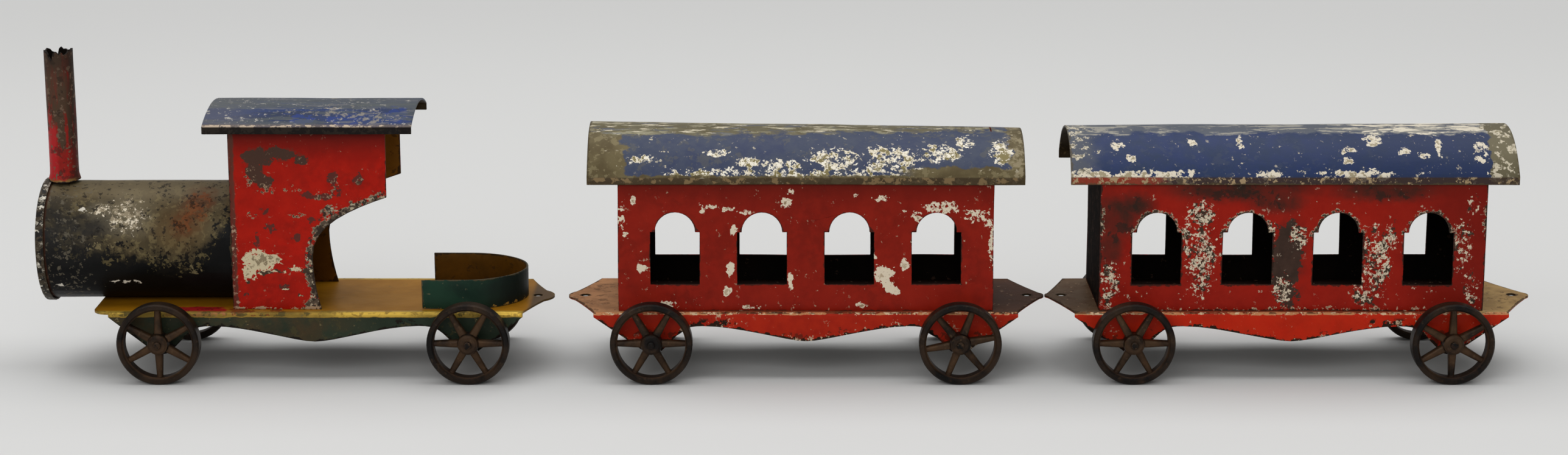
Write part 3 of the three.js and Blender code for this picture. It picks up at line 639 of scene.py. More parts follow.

# %% [markdown]
# ## Locomotive paint
# The cab is a brighter red with brown scuffs and one large cream chip. Its inside is ochre. The frame has
# a gold lacquered deck with a painted highlight along its folded edge and dark green valances, and the fence
# is green outside and ochre inside. The boiler is black, burnt to olive and rust along its top.

# %% Cab red
def cab_red_finish():
    finish = Finish("cab_red", "ab1709", 0.4)
    finish.coat(finish.patchy(20) * 0.6, "91150a", 0.45)
    finish.coat(finish.patchy(4) * 0.35, "b8200f", 0.38)
    # Darker towards the top of the cab: painted shade under the roof's eave.
    finish.coat(finish.z.above(70.5, 6) * 0.85, "46100a", 0.5)
    finish.coat(finish.patchy(2.4) * finish.patchy(15) * 0.4, "6b140b", 0.5)
    scuffs = finish.on_side(
        (-160.8, 68.2, 6.6, 4), (-154.4, 69.2, 6.4, 3), (-161.6, 64.4, 3.8, 4.6), (-159, 61, 3.6, 3),
        (-147.8, 67.6, 3, 2.6))
    finish.coat(finish.flakes(scuffs * 1.15, 2.6) * 0.45, "5f2c20", 0.55)
    finish.coat(finish.flakes(scuffs * 1.06, 2) * 0.93, "42342b", 0.58, 0.1, sinks=0.3)
    smears = finish.on_side(
        (-138.4, 61.4, 2.2, 3.6), (-137.8, 57.8, 2.4, 2.6), (-141.6, 56.2, 4, 1.6),
        (-146.2, 56.4, 3.4, 1.4), (-130.6, 61.2, 2.6, 2.6), (-159.6, 51.6, 2.2, 1.4),
        (-158.2, 46.2, 2.4, 2.2), (-161.8, 42.6, 1.2, 4), (-149.6, 43.4, 1.6, 2), (-145, 48.6, 3.6, 1.6),
        (-153.8, 28, 2.4, 0.9), (-165.6, 25.4, 1.4, 1.2))
    finish.coat(finish.flakes(smears * 0.95, 1.4) * 0.85, "45302a", 0.58, 0.1, sinks=0.3)
    trail = finish.on_side(
        (-163.6, 62, 3, 4.6), (-158.8, 58.6, 4.6, 2.4), (-150.8, 58.6, 5, 1.8), (-141.6, 56.4, 4.6, 2),
        (-138.2, 60.4, 2, 3.6), (-130.6, 61, 1.8, 1.8), (-148, 67.4, 1.6, 1.6), (-163, 50.2, 3, 1.2),
        (-150, 50.4, 5, 1.2))
    finish.chipped(trail * 0.64, 0.8, "9b8068", "4b3c2f", 0.14)
    behind = finish.x.above(-149, 2)
    below_corner = ~finish.z.above(58.5, 1.5)
    near_rear = behind * below_corner * ~finish.edge.ramp(0.8, 4.6)
    shoulder = finish.on_side((-138.6, 49.6, 5, 5.6), (-143.6, 31.6, 3.4, 2.6))
    rear_wear = near_rear * 1.02 | shoulder * 0.95
    finish.chipped(rear_wear, 1.6, "8a7b66", "574a3e", 0.16)
    finish.coat(finish.flakes(rear_wear * 0.5, 0.8), "b3a58c", 0.68, sinks=0.4)
    finish.coat(finish.flakes(rear_wear * 0.7, 1), "382e27", 0.62, 0.1)
    big_chip = finish.on_side((-161.6, 36, 5.6, 4.6), (-164.4, 32.8, 2.8, 4), (-157.6, 36.6, 4, 2.8))
    dashes = finish.on_side(
        (-160.4, 32.4, 3.6, 0.8), (-155.4, 32.8, 3.6, 0.8), (-150.6, 33.6, 3.4, 0.9),
        (-146.4, 33, 3, 1.1), (-165.4, 30.2, 1.3, 1.3), (-153.4, 27.4, 2.2, 0.7), (-149.2, 25, 1.2, 0.6))
    finish.coat(finish.flakes(dashes, 1.2), "43352a", 0.62, sinks=0.3)
    chips = big_chip * 1.2 | dashes * 0.7
    finish.chipped(chips, 1.2, "cbbd9c", "8a7c62", 0.5, 0)
    corner = finish.across().above(17.5, 0.4)
    front_edge = corner * ~finish.x.ragged(-168.2, 0.3, 3, 0.5)
    finish.coat(front_edge * 0.85, "4d352b", 0.6, 0.1)
    front_chips = corner * ~finish.x.ramp(-168, -166.8) * ~finish.z.above(54, 6)
    finish.coat(finish.flakes(front_chips * 0.5, 0.9), "a88c74", 0.68)
    foot = ~finish.z.ramp(21.4, 22.8)
    finish.coat(finish.flakes(foot * 0.78, 1.4), "b09578", 0.66)
    front_wall = ~finish.x.above(-169, 0.2)
    finish.coat(front_wall * finish.patchy(9) * 0.5, "6b160d", 0.5)
    by_boiler = front_wall * ~finish.z.above(58, 3)
    finish.chipped((by_boiler | front_wall * 0.8) * 0.42, 1.4, "a58a72", "43352a", 0.1)
    finish.coat(finish.rubbed(0.3) * 0.9, DARK_TIN, 0.6, 0.2)
    finish.coat(finish.flakes(0.29, 0.8) * finish.patchy(12), "a58a72", 0.68, sinks=0.6)
    return finish.done(dents=1.5)


cab_red = cab_red_finish()

# %% Ochre insides and the cab roof
def ochre_finish(name, light, dark):
    finish = Finish(name, light, 0.5, 0.2)
    finish.coat(finish.patchy(14) * 0.8, dark, 0.58, 0.15)
    finish.coat(finish.flakes(0.4, 1.6) * 0.6, "2c1d0a", 0.65)
    finish.coat(finish.rubbed(0.5) * 0.8, "1f170c", 0.6)
    return finish.done()


def cab_roof_blue():
    finish = Finish("cab_roof_blue", "2a3349", 0.5, 0.1)
    finish.coat(finish.patchy(8), "26345a", 0.46)
    finish.coat(finish.streaks(0.6, 3.4) * 0.7, "223768", 0.42)
    bright = finish.on_side((-148, 79.6, 7, 1.6), (-134, 79.4, 8, 1.4), (-119, 80.2, 7, 2))
    finish.coat(finish.flakes(bright * 0.95, 2.8) * 0.85, "1c3474", 0.4)
    finish.coat(finish.streaks(0.6, 2.4) * 0.55, "535856", 0.55, 0.1)
    finish.coat(~finish.x.above(-164, 8) * 0.55, "5a5a60", 0.52, 0.1)
    crown = finish.z.ragged(81.5, 0.25, 6, 0.4)
    finish.coat(crown * 0.6, "5c605f", 0.5, 0.2)
    finish.coat(finish.streaks(0.5, 1.5) * 0.65, "67676c", 0.55, 0.1)
    worn = finish.on_side(
        (-137, 80.6, 12, 2), (-127, 79.9, 9, 1.8), (-149, 81, 7, 1.2), (-120, 79.6, 6, 1))
    finish.coat(finish.flakes(worn * 0.6, 1.3) * 0.7, "938b7c", 0.6, 0.1)
    finish.coat(finish.flakes(0.42, 0.8) * finish.patchy(8), "b5b0a6", 0.6)
    line = ~finish.z.above(78.5, 0.3)
    finish.coat(line * 0.5, "7d6c5b", 0.6)
    finish.coat(finish.flakes(line * 0.72, 1.6), "bca994", 0.6, sinks=0.6)
    # Near-black along the bottom edge of the lip: painted shade.
    finish.coat(~finish.z.above(77.9, 0.2) * 0.97, "100b08", 0.7, 0.1)
    return finish.done(dents=2, shine=0.15)


cab_inside = ochre_finish("cab_inside_ochre", "7a4c0b", "5a3606")
fence_inside = ochre_finish("fence_inside_ochre", "563708", "3b2604")
cab_roof_paint = cab_roof_blue()

# %% Frame and fence of the locomotive
def locomotive_frame_finish():
    finish = Finish("locomotive_frame_green", "2a3427", 0.42)
    finish.coat(finish.patchy(16) * 0.8, "1e2a1f", 0.46)
    brown = finish.on_side((-160, 17, 30, 9), (-200, 17, 9, 9))
    finish.coat(brown * finish.patchy(7) * 0.9, "463723", 0.52, 0.1)
    finish.coat(finish.flakes(0.42, 1.8) * 0.5, "4a4327", 0.5, 0.2)
    deck = finish.z.ragged(19.7, 0.3, 5, 0.3)
    finish.coat(deck, "a36f12", 0.4, 0.15)
    finish.coat(deck * finish.patchy(13) * 0.55, "84560f", 0.48, 0.15)
    # The bright gold on the fold is a painted highlight along the bend, with worn flakes over it.
    fold = deck * finish.across().above(20.9, 0.9)
    finish.coat(fold * 0.92, "d6b24c", 0.32, 0.4)
    finish.coat(fold * finish.flakes(0.52, 2) * 0.7, "8a6c2d", 0.45, 0.3)
    # Beside the cab the painted highlight on the fold is darker.
    by_cab = finish.on_side((-162, 21, 25, 60))
    finish.coat(fold * by_cab * 0.75, "80632a", 0.45, 0.2)
    worn_fold = fold * finish.on_side((-178, 21, 14, 60))
    finish.coat(finish.flakes(worn_fold * 0.9, 2) * 0.8, "b0714a", 0.5, 0.1)
    outer_deck = deck * finish.across().ragged(15.6, 0.4, 3, 1)
    smear = outer_deck * finish.x.ragged(-189, 0.6, 4, 2.4) * ~finish.x.ragged(-172, 1, 4, 3)
    smear = smear * ~finish.across().ragged(21.2, 0.3, 3, 0.5)
    finish.coat(smear * 0.95, "9c1020", 0.42)
    finish.coat(smear * finish.flakes(0.5, 1.5) * 0.8, "5f1512", 0.5)
    thin_smear = outer_deck * finish.on_side((-163, 21, 12, 60))
    finish.coat(finish.flakes(thin_smear * 0.8, 2.4) * 0.8, "6d1d15", 0.5)
    finish.coat(deck * finish.x.above(-80, 1), "5f4a33", 0.55, 0.2)
    below_fold = ~finish.z.above(19, 0.6)
    finish.coat(finish.rubbed(0.6) * below_fold, "1b1610", 0.6, 0.2)
    finish.coat(finish.rubbed(0.4) * deck * 0.5, "6b5228", 0.5, 0.3)
    finish.coat(finish.flakes(0.31, 0.9) * finish.patchy(10), "84734f", 0.6, 0.2, sinks=0.5)
    # Away from two places the painted highlight on the fold is dimmed and worn.
    fold_highlight_dimmed = fold * ~finish.on_side((-128, 21, 14, 60), (-84, 21, 7, 60))
    finish.coat(fold_highlight_dimmed * finish.patchy(9) * 0.75, "6d5a26", 0.5, 0.2)
    finish.coat(finish.flakes(fold_highlight_dimmed * 0.6, 2.6) * 0.8, "4d4526", 0.5, 0.2)
    return finish.done(dents=1.4, shine=0.12)


def fence_green_finish():
    finish = Finish("fence_green", "1f3a2c", 0.4)
    finish.coat(finish.patchy(14) * 0.8, "172620", 0.46)
    finish.coat(finish.x.above(-92, 7) * 0.75, "1a1a1a", 0.5)
    finish.coat(finish.flakes(~finish.z.ramp(21.3, 23.4) * 0.6, 1.6), "b8984e", 0.45, 0.5)
    finish.coat(finish.rubbed(0.4), "4a4230", 0.5, 0.4)
    finish.coat(finish.flakes(0.27, 1) * finish.patchy(9), "6f6a50", 0.6)
    return finish.done(dents=1.4)


locomotive_frame_paint = locomotive_frame_finish()
fence_green = fence_green_finish()

# %% Boiler, its cap and the chimney
def boiler_finish():
    finish = Finish("boiler_black", "070707", 0.42)
    finish.coat(finish.patchy(12) * 0.6, "11100f", 0.5)
    sloping = finish.calc("MULTIPLY_ADD", finish.calc("ADD", finish.x, 205), 0.17, finish.z)
    by_cab = finish.calc("MAXIMUM", finish.calc("ADD", finish.x, 182), 0)
    level = finish.calc("MULTIPLY_ADD", by_cab, -1.5, sloping)
    burnt = level.ragged(38.6, 2.2, 4, 3.2)
    finish.coat(burnt * 0.92, "594d35", 0.48, 0.2)
    finish.coat(burnt * finish.patchy(6) * 0.8, "3b3324", 0.5, 0.2)
    finish.coat(burnt * finish.flakes(0.6, 1.8) * 0.6, "746747", 0.5, 0.2)
    ridge = finish.z.ragged(54, 1, 5, 0.8)
    finish.coat(ridge * 0.7, "665a42", 0.48, 0.25)
    border = level.above(33, 3) * ~level.above(43, 3)
    finish.coat(finish.flakes(border * 0.66, 1.6), "12100d", 0.5)
    finish.coat(finish.flakes(border * 0.5, 1.2) * 0.8, "5f5437", 0.55)
    smoke = finish.on_side((-213.5, 47, 10, 6), (-224, 46, 8, 10), (-219, 40, 13, 6))
    finish.coat(smoke * ~(finish.patchy(5) * 0.35) * 0.97, "1d1c1b", 0.45)
    wash = finish.on_side((-186, 46, 9, 8))
    finish.coat(wash * 0.5, "5c4526", 0.55, 0.1)
    rust = finish.on_side((-181.5, 50.6, 5, 6.2), (-184.8, 47, 4.4, 4.8), (-178.4, 53.2, 3.8, 3.2))
    finish.coat(rust * ~(finish.patchy(2.4) * 0.6) * 0.8, "5d331a", 0.66)
    finish.coat(finish.flakes(rust * 0.72, 1.4) * 0.6, "75401f", 0.66)
    finish.coat(finish.flakes(rust * 0.6, 0.9) * 0.85, "33200f", 0.7)
    bright = finish.on_side((-202, 49, 9, 6.6), (-209, 50.6, 6, 3))
    finish.coat(bright * 0.4, "7c735f", 0.5, 0.1)
    finish.coat(finish.flakes(bright * 0.68, 1.2) * 0.75, "9a8d75", 0.5, 0.2)
    finish.coat(finish.flakes(bright * 0.58, 0.6), "d6cab4", 0.55, 0.1)
    marks = finish.on_side(
        (-216, 51.2, 1.9, 1), (-206.5, 28.8, 1.8, 0.6), (-203, 28.8, 1.4, 0.6), (-199.5, 28.9, 1.4, 0.5),
        (-223, 27.4, 1.8, 0.7))
    finish.coat(finish.flakes(marks * 0.95, 0.9), "cfc8ba", 0.6)
    pocked = finish.on_side((-182.5, 33.6, 4.6, 3), (-209, 41, 6, 5))
    finish.coat(finish.flakes(pocked * 0.62, 0.9), "6d6246", 0.6)
    front = ~finish.x.above(-211, 7)
    finish.coat(finish.flakes(front * 0.5, 0.9) * 0.8, "5f584a", 0.6)
    finish.coat(finish.flakes(burnt * 0.46, 1) * 0.8, "1c1712", 0.6)
    finish.coat(~finish.x.ragged(-226.6, 0.3, 4, 0.3) * 0.7, "4a2a1c", 0.6)
    finish.coat(finish.rubbed(0.5) * 0.7, "50432e", 0.5, 0.3)
    return finish.done(dents=2.4, shine=0.1)


def cap_finish():
    finish = Finish("boiler_cap_black", "141210", 0.44)
    finish.coat(finish.patchy(8) * 0.7, "211c17", 0.52, 0.1)
    finish.coat(finish.flakes(0.52, 2) * 0.8, "332c22", 0.55, 0.2)
    rise = finish.calc("SUBTRACT", finish.z, 39)
    squares = finish.calc("MULTIPLY_ADD", rise, rise, finish.calc("MULTIPLY", finish.y, finish.y))
    flange = finish.calc("SQRT", squares).above(17.2, 0.7)
    finish.coat(finish.flakes(flange * 0.46, 0.8), "8f8979", 0.6, sinks=0.7)
    finish.coat(finish.flakes(flange * 0.54, 0.9), "d2ccbd", 0.6, sinks=0.7)
    finish.coat(finish.flakes(0.34, 1) * finish.patchy(7), "7d7666", 0.6, sinks=0.6)
    finish.coat(finish.rubbed(0.4) * 0.6, "4c4234", 0.5, 0.3)
    return finish.done(dents=2, shine=0.15)


def chimney_finish():
    finish = Finish("chimney_red_brown", "4a382a", 0.55, 0.1)
    stretched = finish.node(
        "ShaderNodeMapping", {"Vector": finish.place, "Scale": (0.5, 0.5, 0.09)}).outputs[0]
    streak = finish.grain(stretched, 1, 5, 0.62)
    height = finish.z.ramp(88, 64, smooth=False)
    red = finish.calc("MULTIPLY_ADD", height, 0.26, streak).ramp(0.6, 0.7)
    faint = streak.ramp(0.46, 0.6)
    finish.coat(faint * 0.5, "6b231a", 0.5)
    finish.coat(red * 0.9, "82160f", 0.45)
    finish.coat(red * finish.patchy(5) * 0.6, "a51f1b", 0.45)
    front_stripe = ~finish.x.ragged(-224.6, 0.5, 5, 0.5)
    stripe = front_stripe * ~finish.z.ragged(75, 2, 4, 2)
    finish.coat(stripe * 0.85, "ad1d22", 0.42)
    finish.coat(finish.x.above(-220.6, 1.2) * 0.7, "2a2019", 0.58)
    finish.coat(finish.flakes(0.5, 0.9), "6b5646", 0.62, 0.1, sinks=0.5)
    finish.coat(finish.flakes(0.55, 2) * 0.6, "2c211a", 0.6, 0.1)
    finish.coat(finish.z.above(92, 3) * 0.5, "2c221b", 0.6, 0.2)
    foot = ~finish.z.ragged(58.2, 0.5, 3, 0.8)
    finish.coat(foot * 0.9, "84673a", 0.42, 0.4)
    finish.coat(finish.rubbed(0.4), "1e1712", 0.6)
    return finish.done(dents=2, shine=0.12)


boiler_black = boiler_finish()
cap_black = cap_finish()
chimney_paint = chimney_finish()

# %% Cast iron
def cast_iron_finish():
    finish = Finish("cast_iron_brown", "0a0807", 0.44, 0.2)
    axle_far = finish.attribute("axle_mm")
    finish.coat(finish.patchy(5) * 0.7, "150f0b", 0.5, 0.25)
    finish.coat(finish.flakes(0.6, 2.2) * 0.7, "080706", 0.55, 0.2)
    finish.coat(finish.patchy(7) * finish.flakes(0.56, 1.4) * 0.5, "342014", 0.6, 0.1)
    spokes = axle_far.above(3.2, 0.4) * ~axle_far.above(9.6, 0.6)
    # Lighter bronze patches on the spokes are partly a painted highlight; their lower roughness and metal
    # give real sheen too.
    finish.coat(spokes * finish.patchy(6) * 0.5, "4a3420", 0.36, 0.4)
    inside_rim = axle_far.above(9.9, 0.2) * ~axle_far.above(10.6, 0.12)
    finish.coat(inside_rim * 0.5, "3f2d22", 0.6, 0.1)
    finish.coat(finish.rubbed(0.4) * finish.patchy(9) * 0.45, "5f452e", 0.36, 0.4)
    finish.coat(finish.flakes(0.38, 0.9) * 0.55, "54402d", 0.5, 0.3)
    finish.coat(axle_far.above(10.7, 0.3) * 0.5, "0b0908", 0.5, 0.1)
    return finish.done(dents=0.6, grain_height=0.8, bump=0.5, shine=0.16)


iron = cast_iron_finish()

# %% [markdown]
# ## From solid to sheet
# A piece of the frame arrives as loose triangles. A copy of it is merged, its flat faces are joined again,
# and its sharp edges are rounded a little, as cut tin is. Then it is sliced into a fine grid, so that it can
# be made wavy: one smooth noise moves all sheets of a vehicle together, so seams stay closed. The distance of
# each point from the nearest edge is kept as an attribute, for the wear along edges.

# %% Sheet metal helpers
WELD = 0.002 * MM
FLAT = math.radians(0.6)
SHARP = math.radians(35)
EDGE_ROUND = 0.14 * MM
EDGE_STEP = 0.5 * MM
GRID = 2.5 * MM
WAVE_SIZE, WAVE_DEPTH = 34 * MM, 0.22 * MM
RIPPLE_SIZE, RIPPLE_DEPTH = 9 * MM, 0.05 * MM
WAVE_SEED = 11

noise.seed_set(WAVE_SEED)


def merged_copy(node):
    bm = bmesh.new()
    bm.from_mesh(frame["nodes"][node].data)
    bmesh.ops.remove_doubles(bm, verts=bm.verts, dist=WELD)
    bmesh.ops.dissolve_limit(bm, angle_limit=FLAT, verts=bm.verts, edges=bm.edges)
    return bm


def sharp_edges(bm):
    return [edge for edge in bm.edges if len(edge.link_faces) == 2 and edge.calc_face_angle(0.0) > SHARP]


def edge_finder(bm):
    points = []
    for edge in sharp_edges(bm):
        start, end = edge.verts[0].co, edge.verts[1].co
        steps = max(1, int((end - start).length / EDGE_STEP))
        points += [start.lerp(end, i / steps) for i in range(steps + 1)]
    tree = kdtree.KDTree(len(points))
    for i, point in enumerate(points):
        tree.insert(point, i)
    tree.balance()
    return tree


def note_edges(bm, finder):
    layer = bm.verts.layers.float.new("edge_mm")
    for vert in bm.verts:
        vert[layer] = finder.find(vert.co)[2] / MM


def note_axle(bm):
    """Keep how far each point lies from the middle line of a wheel that is still at the origin"""
    layer = bm.verts.layers.float.new("axle_mm")
    for vert in bm.verts:
        vert[layer] = math.hypot(vert.co.x, vert.co.z) / MM


def round_edges(bm, edges, offset, segments, clamp=False):
    return bmesh.ops.bevel(bm, geom=edges, offset=offset, offset_type="OFFSET", segments=segments,
                           profile=0.5, affect="EDGES", material=-1, clamp_overlap=clamp)


def slice_grid(bm, axes):
    low = Vector([min(vert.co[i] for vert in bm.verts) for i in range(3)])
    high = Vector([max(vert.co[i] for vert in bm.verts) for i in range(3)])
    for axis in axes:
        normal = Vector([float(i == axis) for i in range(3)])
        count = int((high[axis] - low[axis]) / GRID)
        for i in range(1, count):
            point = low.lerp(high, i / count)
            geometry = bm.verts[:] + bm.edges[:] + bm.faces[:]
            bmesh.ops.bisect_plane(bm, geom=geometry, dist=WELD, plane_co=point, plane_no=normal)


def make_wavy(bm, share):
    for vert in bm.verts:
        wave = noise.noise_vector(vert.co / WAVE_SIZE) * WAVE_DEPTH
        ripple = noise.noise_vector(vert.co / RIPPLE_SIZE) * RIPPLE_DEPTH
        vert.co += (wave + ripple) * share


print("sheets move by up to", round((WAVE_DEPTH + RIPPLE_DEPTH) / MM, 2), "mm")

# %% Hand a finished mesh to its body
def hand_over(bm, node, *finishes):
    mesh = bpy.data.meshes.new(node + "_tin")
    bm.to_mesh(mesh)
    bm.free()
    for finish in finishes:
        mesh.materials.append(finish)
    mesh.shade_smooth()
    mesh.set_sharp_from_angle(angle=SHARP)
    piece = bpy.data.objects.new(node + "_tin", mesh)
    bpy.context.scene.collection.objects.link(piece)
    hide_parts(node)
    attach(piece, body_of[node])
    print(piece.name, len(mesh.polygons), "faces")


# %% Dress a sheet, with one finish for its outer faces and one for its inner faces
FACING = 0.5
CUT_END = 0.7


def dress_sheet(bm, finder, node, is_inner, outer, inner, bend=None, wave=1.0):
    note_edges(bm, finder)
    bm.normal_update()
    for face in bm.faces:
        face.material_index = int(is_inner(face.calc_center_median(), face.normal))
    if bend:
        bend(bm)
    make_wavy(bm, wave)
    hand_over(bm, node, outer, inner)


def sheet_piece(node, axes, is_inner, outer, inner, bend=None):
    bm = merged_copy(node)
    finder = edge_finder(bm)
    round_edges(bm, sharp_edges(bm), EDGE_ROUND, 2)
    bmesh.ops.triangulate(bm, faces=bm.faces)
    slice_grid(bm, axes)
    dress_sheet(bm, finder, node, is_inner, outer, inner, bend)


def faces_middle(centre, normal):
    return abs(normal.y) > FACING and centre.y * normal.y < 0


print("sheet helpers ready")

# %% [markdown]
# ## Coaches
# Each coach is two window walls, two end walls and a roof on a frame. A face that looks to the middle of the
# coach gets the dark inside finish.

# %% Coach walls and ends
def end_looks_in(coach):
    low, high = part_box(coach + "_roof")
    middle = (low.x + high.x) / 2
    return lambda centre, normal: normal.x * (centre.x - middle) < 0 and abs(normal.x) > FACING


for coach, red in (("coach_1", first_red), ("coach_2", second_red)):
    for side in ("left_side", "right_side"):
        sheet_piece(coach + "_" + side, (0, 2), faces_middle, red, inside_black)
    for end in ("front_end", "rear_end"):
        sheet_piece(coach + "_" + end, (1, 2), end_looks_in(coach), end_black, inside_black)

# %% [markdown]
# A roof is an arc with its two long edges folded down. Whether a face looks in or out is told by the
# direction from the arc's middle line, which lies below the crown by the radius of the arc.

# %% Roofs
COACH_RISE = 11.7 * MM
CAB_RISE = 4.2 * MM
CROWN_START = 0.2


def roof_middle(node, rise):
    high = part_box(node)[1]
    radius = (high.y * high.y + rise * rise) / (2 * rise)
    return high.z - radius


def lift_crown(bm, node, lift):
    """Raise the front of a bent crown and lower its rear, leaving the eaves where they are"""
    low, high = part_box(node)
    for vert in bm.verts:
        share = (vert.co.z - low.z) / (high.z - low.z)
        front = 1 - 2 * (vert.co.x - low.x) / (high.x - low.x)
        vert.co.z += lift * front * max(0.0, share - CROWN_START)


def roof_piece(node, rise, paint, lift):
    middle = roof_middle(node, rise)

    def looks_in(centre, normal):
        return normal.y * centre.y + normal.z * (centre.z - middle) < 0 and abs(normal.x) < CUT_END

    sheet_piece(node, (0,), looks_in, paint, underside, lambda bm: lift_crown(bm, node, lift))


roof_piece("coach_1_roof", COACH_RISE, first_roof, 1.4 * MM)
roof_piece("coach_2_roof", COACH_RISE, second_roof, -0.4 * MM)
roof_piece("cab_roof", CAB_RISE, cab_roof_paint, 0.0)

# %% [markdown]
# ## Frames
# The fold between deck and valance is a soft bend, so its outer edge gets a rounder bevel than cut edges do.
# The folds also keep the sheet a little flatter.

# %% Frames
FOLD_ROUND = 1.1 * MM
FOLD_STEPS = 4
FRAME_WAVE = 0.8
LOOKS_DOWN = -0.6


def below_or_inside(centre, normal):
    return normal.z < LOOKS_DOWN or faces_middle(centre, normal)


def frame_piece(node, paint):
    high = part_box(node)[1]
    bm = merged_copy(node)
    finder = edge_finder(bm)

    def on_fold(edge):
        ends = [vert.co for vert in edge.verts]
        level = all(abs(end.z - high.z) < WELD for end in ends)
        return level and all(abs(abs(end.y) - high.y) < WELD for end in ends)

    folds = [edge for edge in sharp_edges(bm) if on_fold(edge)]
    round_edges(bm, folds, FOLD_ROUND, FOLD_STEPS)
    bmesh.ops.triangulate(bm, faces=bm.faces)
    slice_grid(bm, (0, 1))
    bmesh.ops.remove_doubles(bm, verts=bm.verts, dist=WELD)
    dress_sheet(bm, finder, node, below_or_inside, paint, underside, wave=FRAME_WAVE)


frame_piece("loco_frame", locomotive_frame_paint)
frame_piece("coach_1_frame", first_frame)
frame_piece("coach_2_frame", second_frame)

# %% [markdown]
# ## Locomotive
# The cab is one sheet bent round three sides. The fence is a strip bent into a horseshoe. The boiler is a
# rolled tube with a flanged cap pushed over its front.

# %% Cab, fence, boiler and cap
WALL_REACH = 0.9 * MM

cab_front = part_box("cab_body")[0].x
fence_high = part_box("tender_fence")[1]
fence_bend = fence_high.x - fence_high.y
barrel_low, barrel_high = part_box("boiler_barrel")
barrel_radius = (barrel_high.z - barrel_low.z) / 2
barrel_axis = (barrel_low.z + barrel_high.z) / 2


def cab_looks_in(centre, normal):
    front_wall_back = normal.x > FACING and centre.x < cab_front + WALL_REACH
    return front_wall_back or faces_middle(centre, normal)


def fence_looks_in(centre, normal):
    outwards = Vector((max(centre.x - fence_bend, 0.0), centre.y, 0.0))
    return abs(normal.z) < CUT_END and normal.dot(outwards) < 0


def boiler_looks_in(centre, normal):
    return abs(normal.x) < CUT_END and normal.z * (centre.z - barrel_axis) + normal.y * centre.y < 0


def cap_looks_in(centre, normal):
    return normal.x > FACING


sheet_piece("cab_body", (0, 1, 2), cab_looks_in, cab_red, cab_inside)
sheet_piece("tender_fence", (0, 1, 2), fence_looks_in, fence_green, fence_inside)
sheet_piece("boiler_barrel", (0,), boiler_looks_in, boiler_black, underside)
sheet_piece("boiler_front_cap", (1, 2), cap_looks_in, cap_black, underside)

# %% [markdown]
# ## Chimney
# The chimney is a rolled tube with a torn top edge and a fillet of solder at its foot. It starts as a circle
# of edges that is extruded upwards ring by ring. Each ring is then moved: the lowest follows the boiler, the
# highest is torn, and the foot flares where the solder ran. Solidify gives the tube its thickness.

# %% Chimney tube
TUBE_SIDES = 72
TUBE_RINGS = 22
TUBE_WALL = 0.6 * MM
SOLDER_FLARE = 0.55 * MM
SOLDER_HEIGHT = 0.9 * MM
CAP_FLANGE = 0.95 * MM
TORN_TOP = [(-1.01, 0.5), (-0.84, 0.0), (-0.28, 2.9), (-0.17, 0.5), (0.0, 0.15), (0.22, 0.95), (0.4, 0.5),
            (0.62, 1.4), (0.78, 0.8), (0.92, 0.0), (1.01, 0.5)]
TORN_SCALE = 8.0
TORN_SLICE = 1.3
TORN_FINE = 0.5

chimney_low, chimney_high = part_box("chimney")
tube_radius = chimney_high.y
tube_x = chimney_low.x + tube_radius


def saddle(y):
    """Height of the boiler's flange at a distance from the middle, where the tube stands"""
    return barrel_axis + math.sqrt((barrel_radius + CAP_FLANGE) ** 2 - y * y)


def torn_top(angle):
    """Height of the torn edge, from how far each place lies to the front or the rear of the tube"""
    along = math.cos(angle)
    pairs = zip(TORN_TOP, TORN_TOP[1:])
    (start, first), (end, last) = next((a, b) for a, b in pairs if a[0] <= along <= b[0])
    drop = first + (last - first) * (along - start) / (end - start)
    fine = noise.noise(Vector((TORN_SCALE * along, TORN_SCALE * math.sin(angle), TORN_SLICE)))
    return chimney_high.z - max(0.0, drop + TORN_FINE * fine) * MM


def chimney_tube():
    bm = bmesh.new()
    bmesh.ops.create_circle(bm, cap_ends=False, segments=TUBE_SIDES, radius=tube_radius)
    ring = bm.edges[:]
    rings = [bm.verts[:]]
    for _ in range(TUBE_RINGS):
        grown = bmesh.ops.extrude_edge_only(bm, edges=ring)["geom"]
        verts = [item for item in grown if isinstance(item, bmesh.types.BMVert)]
        edges = [item for item in grown if isinstance(item, bmesh.types.BMEdge)]
        ring = [edge for edge in edges if all(vert in verts for vert in edge.verts)]
        rings.append(verts)
    for i, verts in enumerate(rings):
        share = i / TUBE_RINGS
        for vert in verts:
            angle = math.atan2(vert.co.y, vert.co.x)
            foot = saddle(vert.co.y)
            vert.co.z = foot + (torn_top(angle) - foot) * share
            flare = 1 + SOLDER_FLARE / tube_radius * math.exp(-(vert.co.z - foot) / SOLDER_HEIGHT)
            vert.co.x = vert.co.x * flare + tube_x
            vert.co.y *= flare
    bmesh.ops.recalc_face_normals(bm, faces=bm.faces)
    bmesh.ops.solidify(bm, geom=bm.faces[:] + bm.edges[:] + bm.verts[:], thickness=TUBE_WALL)
    return bm


def tube_looks_in(centre, normal):
    return abs(normal.z) < CUT_END and normal.x * (centre.x - tube_x) + normal.y * centre.y < 0


tube = chimney_tube()
dress_sheet(tube, edge_finder(tube), "chimney", tube_looks_in, chimney_paint, inside_black)

# %% [markdown]
# ## Wheels
# All twelve wheels are alike: a rim with rounded corners, a hub, and six spokes that taper to the rim. Rim
# and hub are spun from a small closed profile. A spoke is a cube that is stretched, tapered and rounded, then
# turned to its place. The finished wheel is copied into its twelve places, each pair at its own angle.

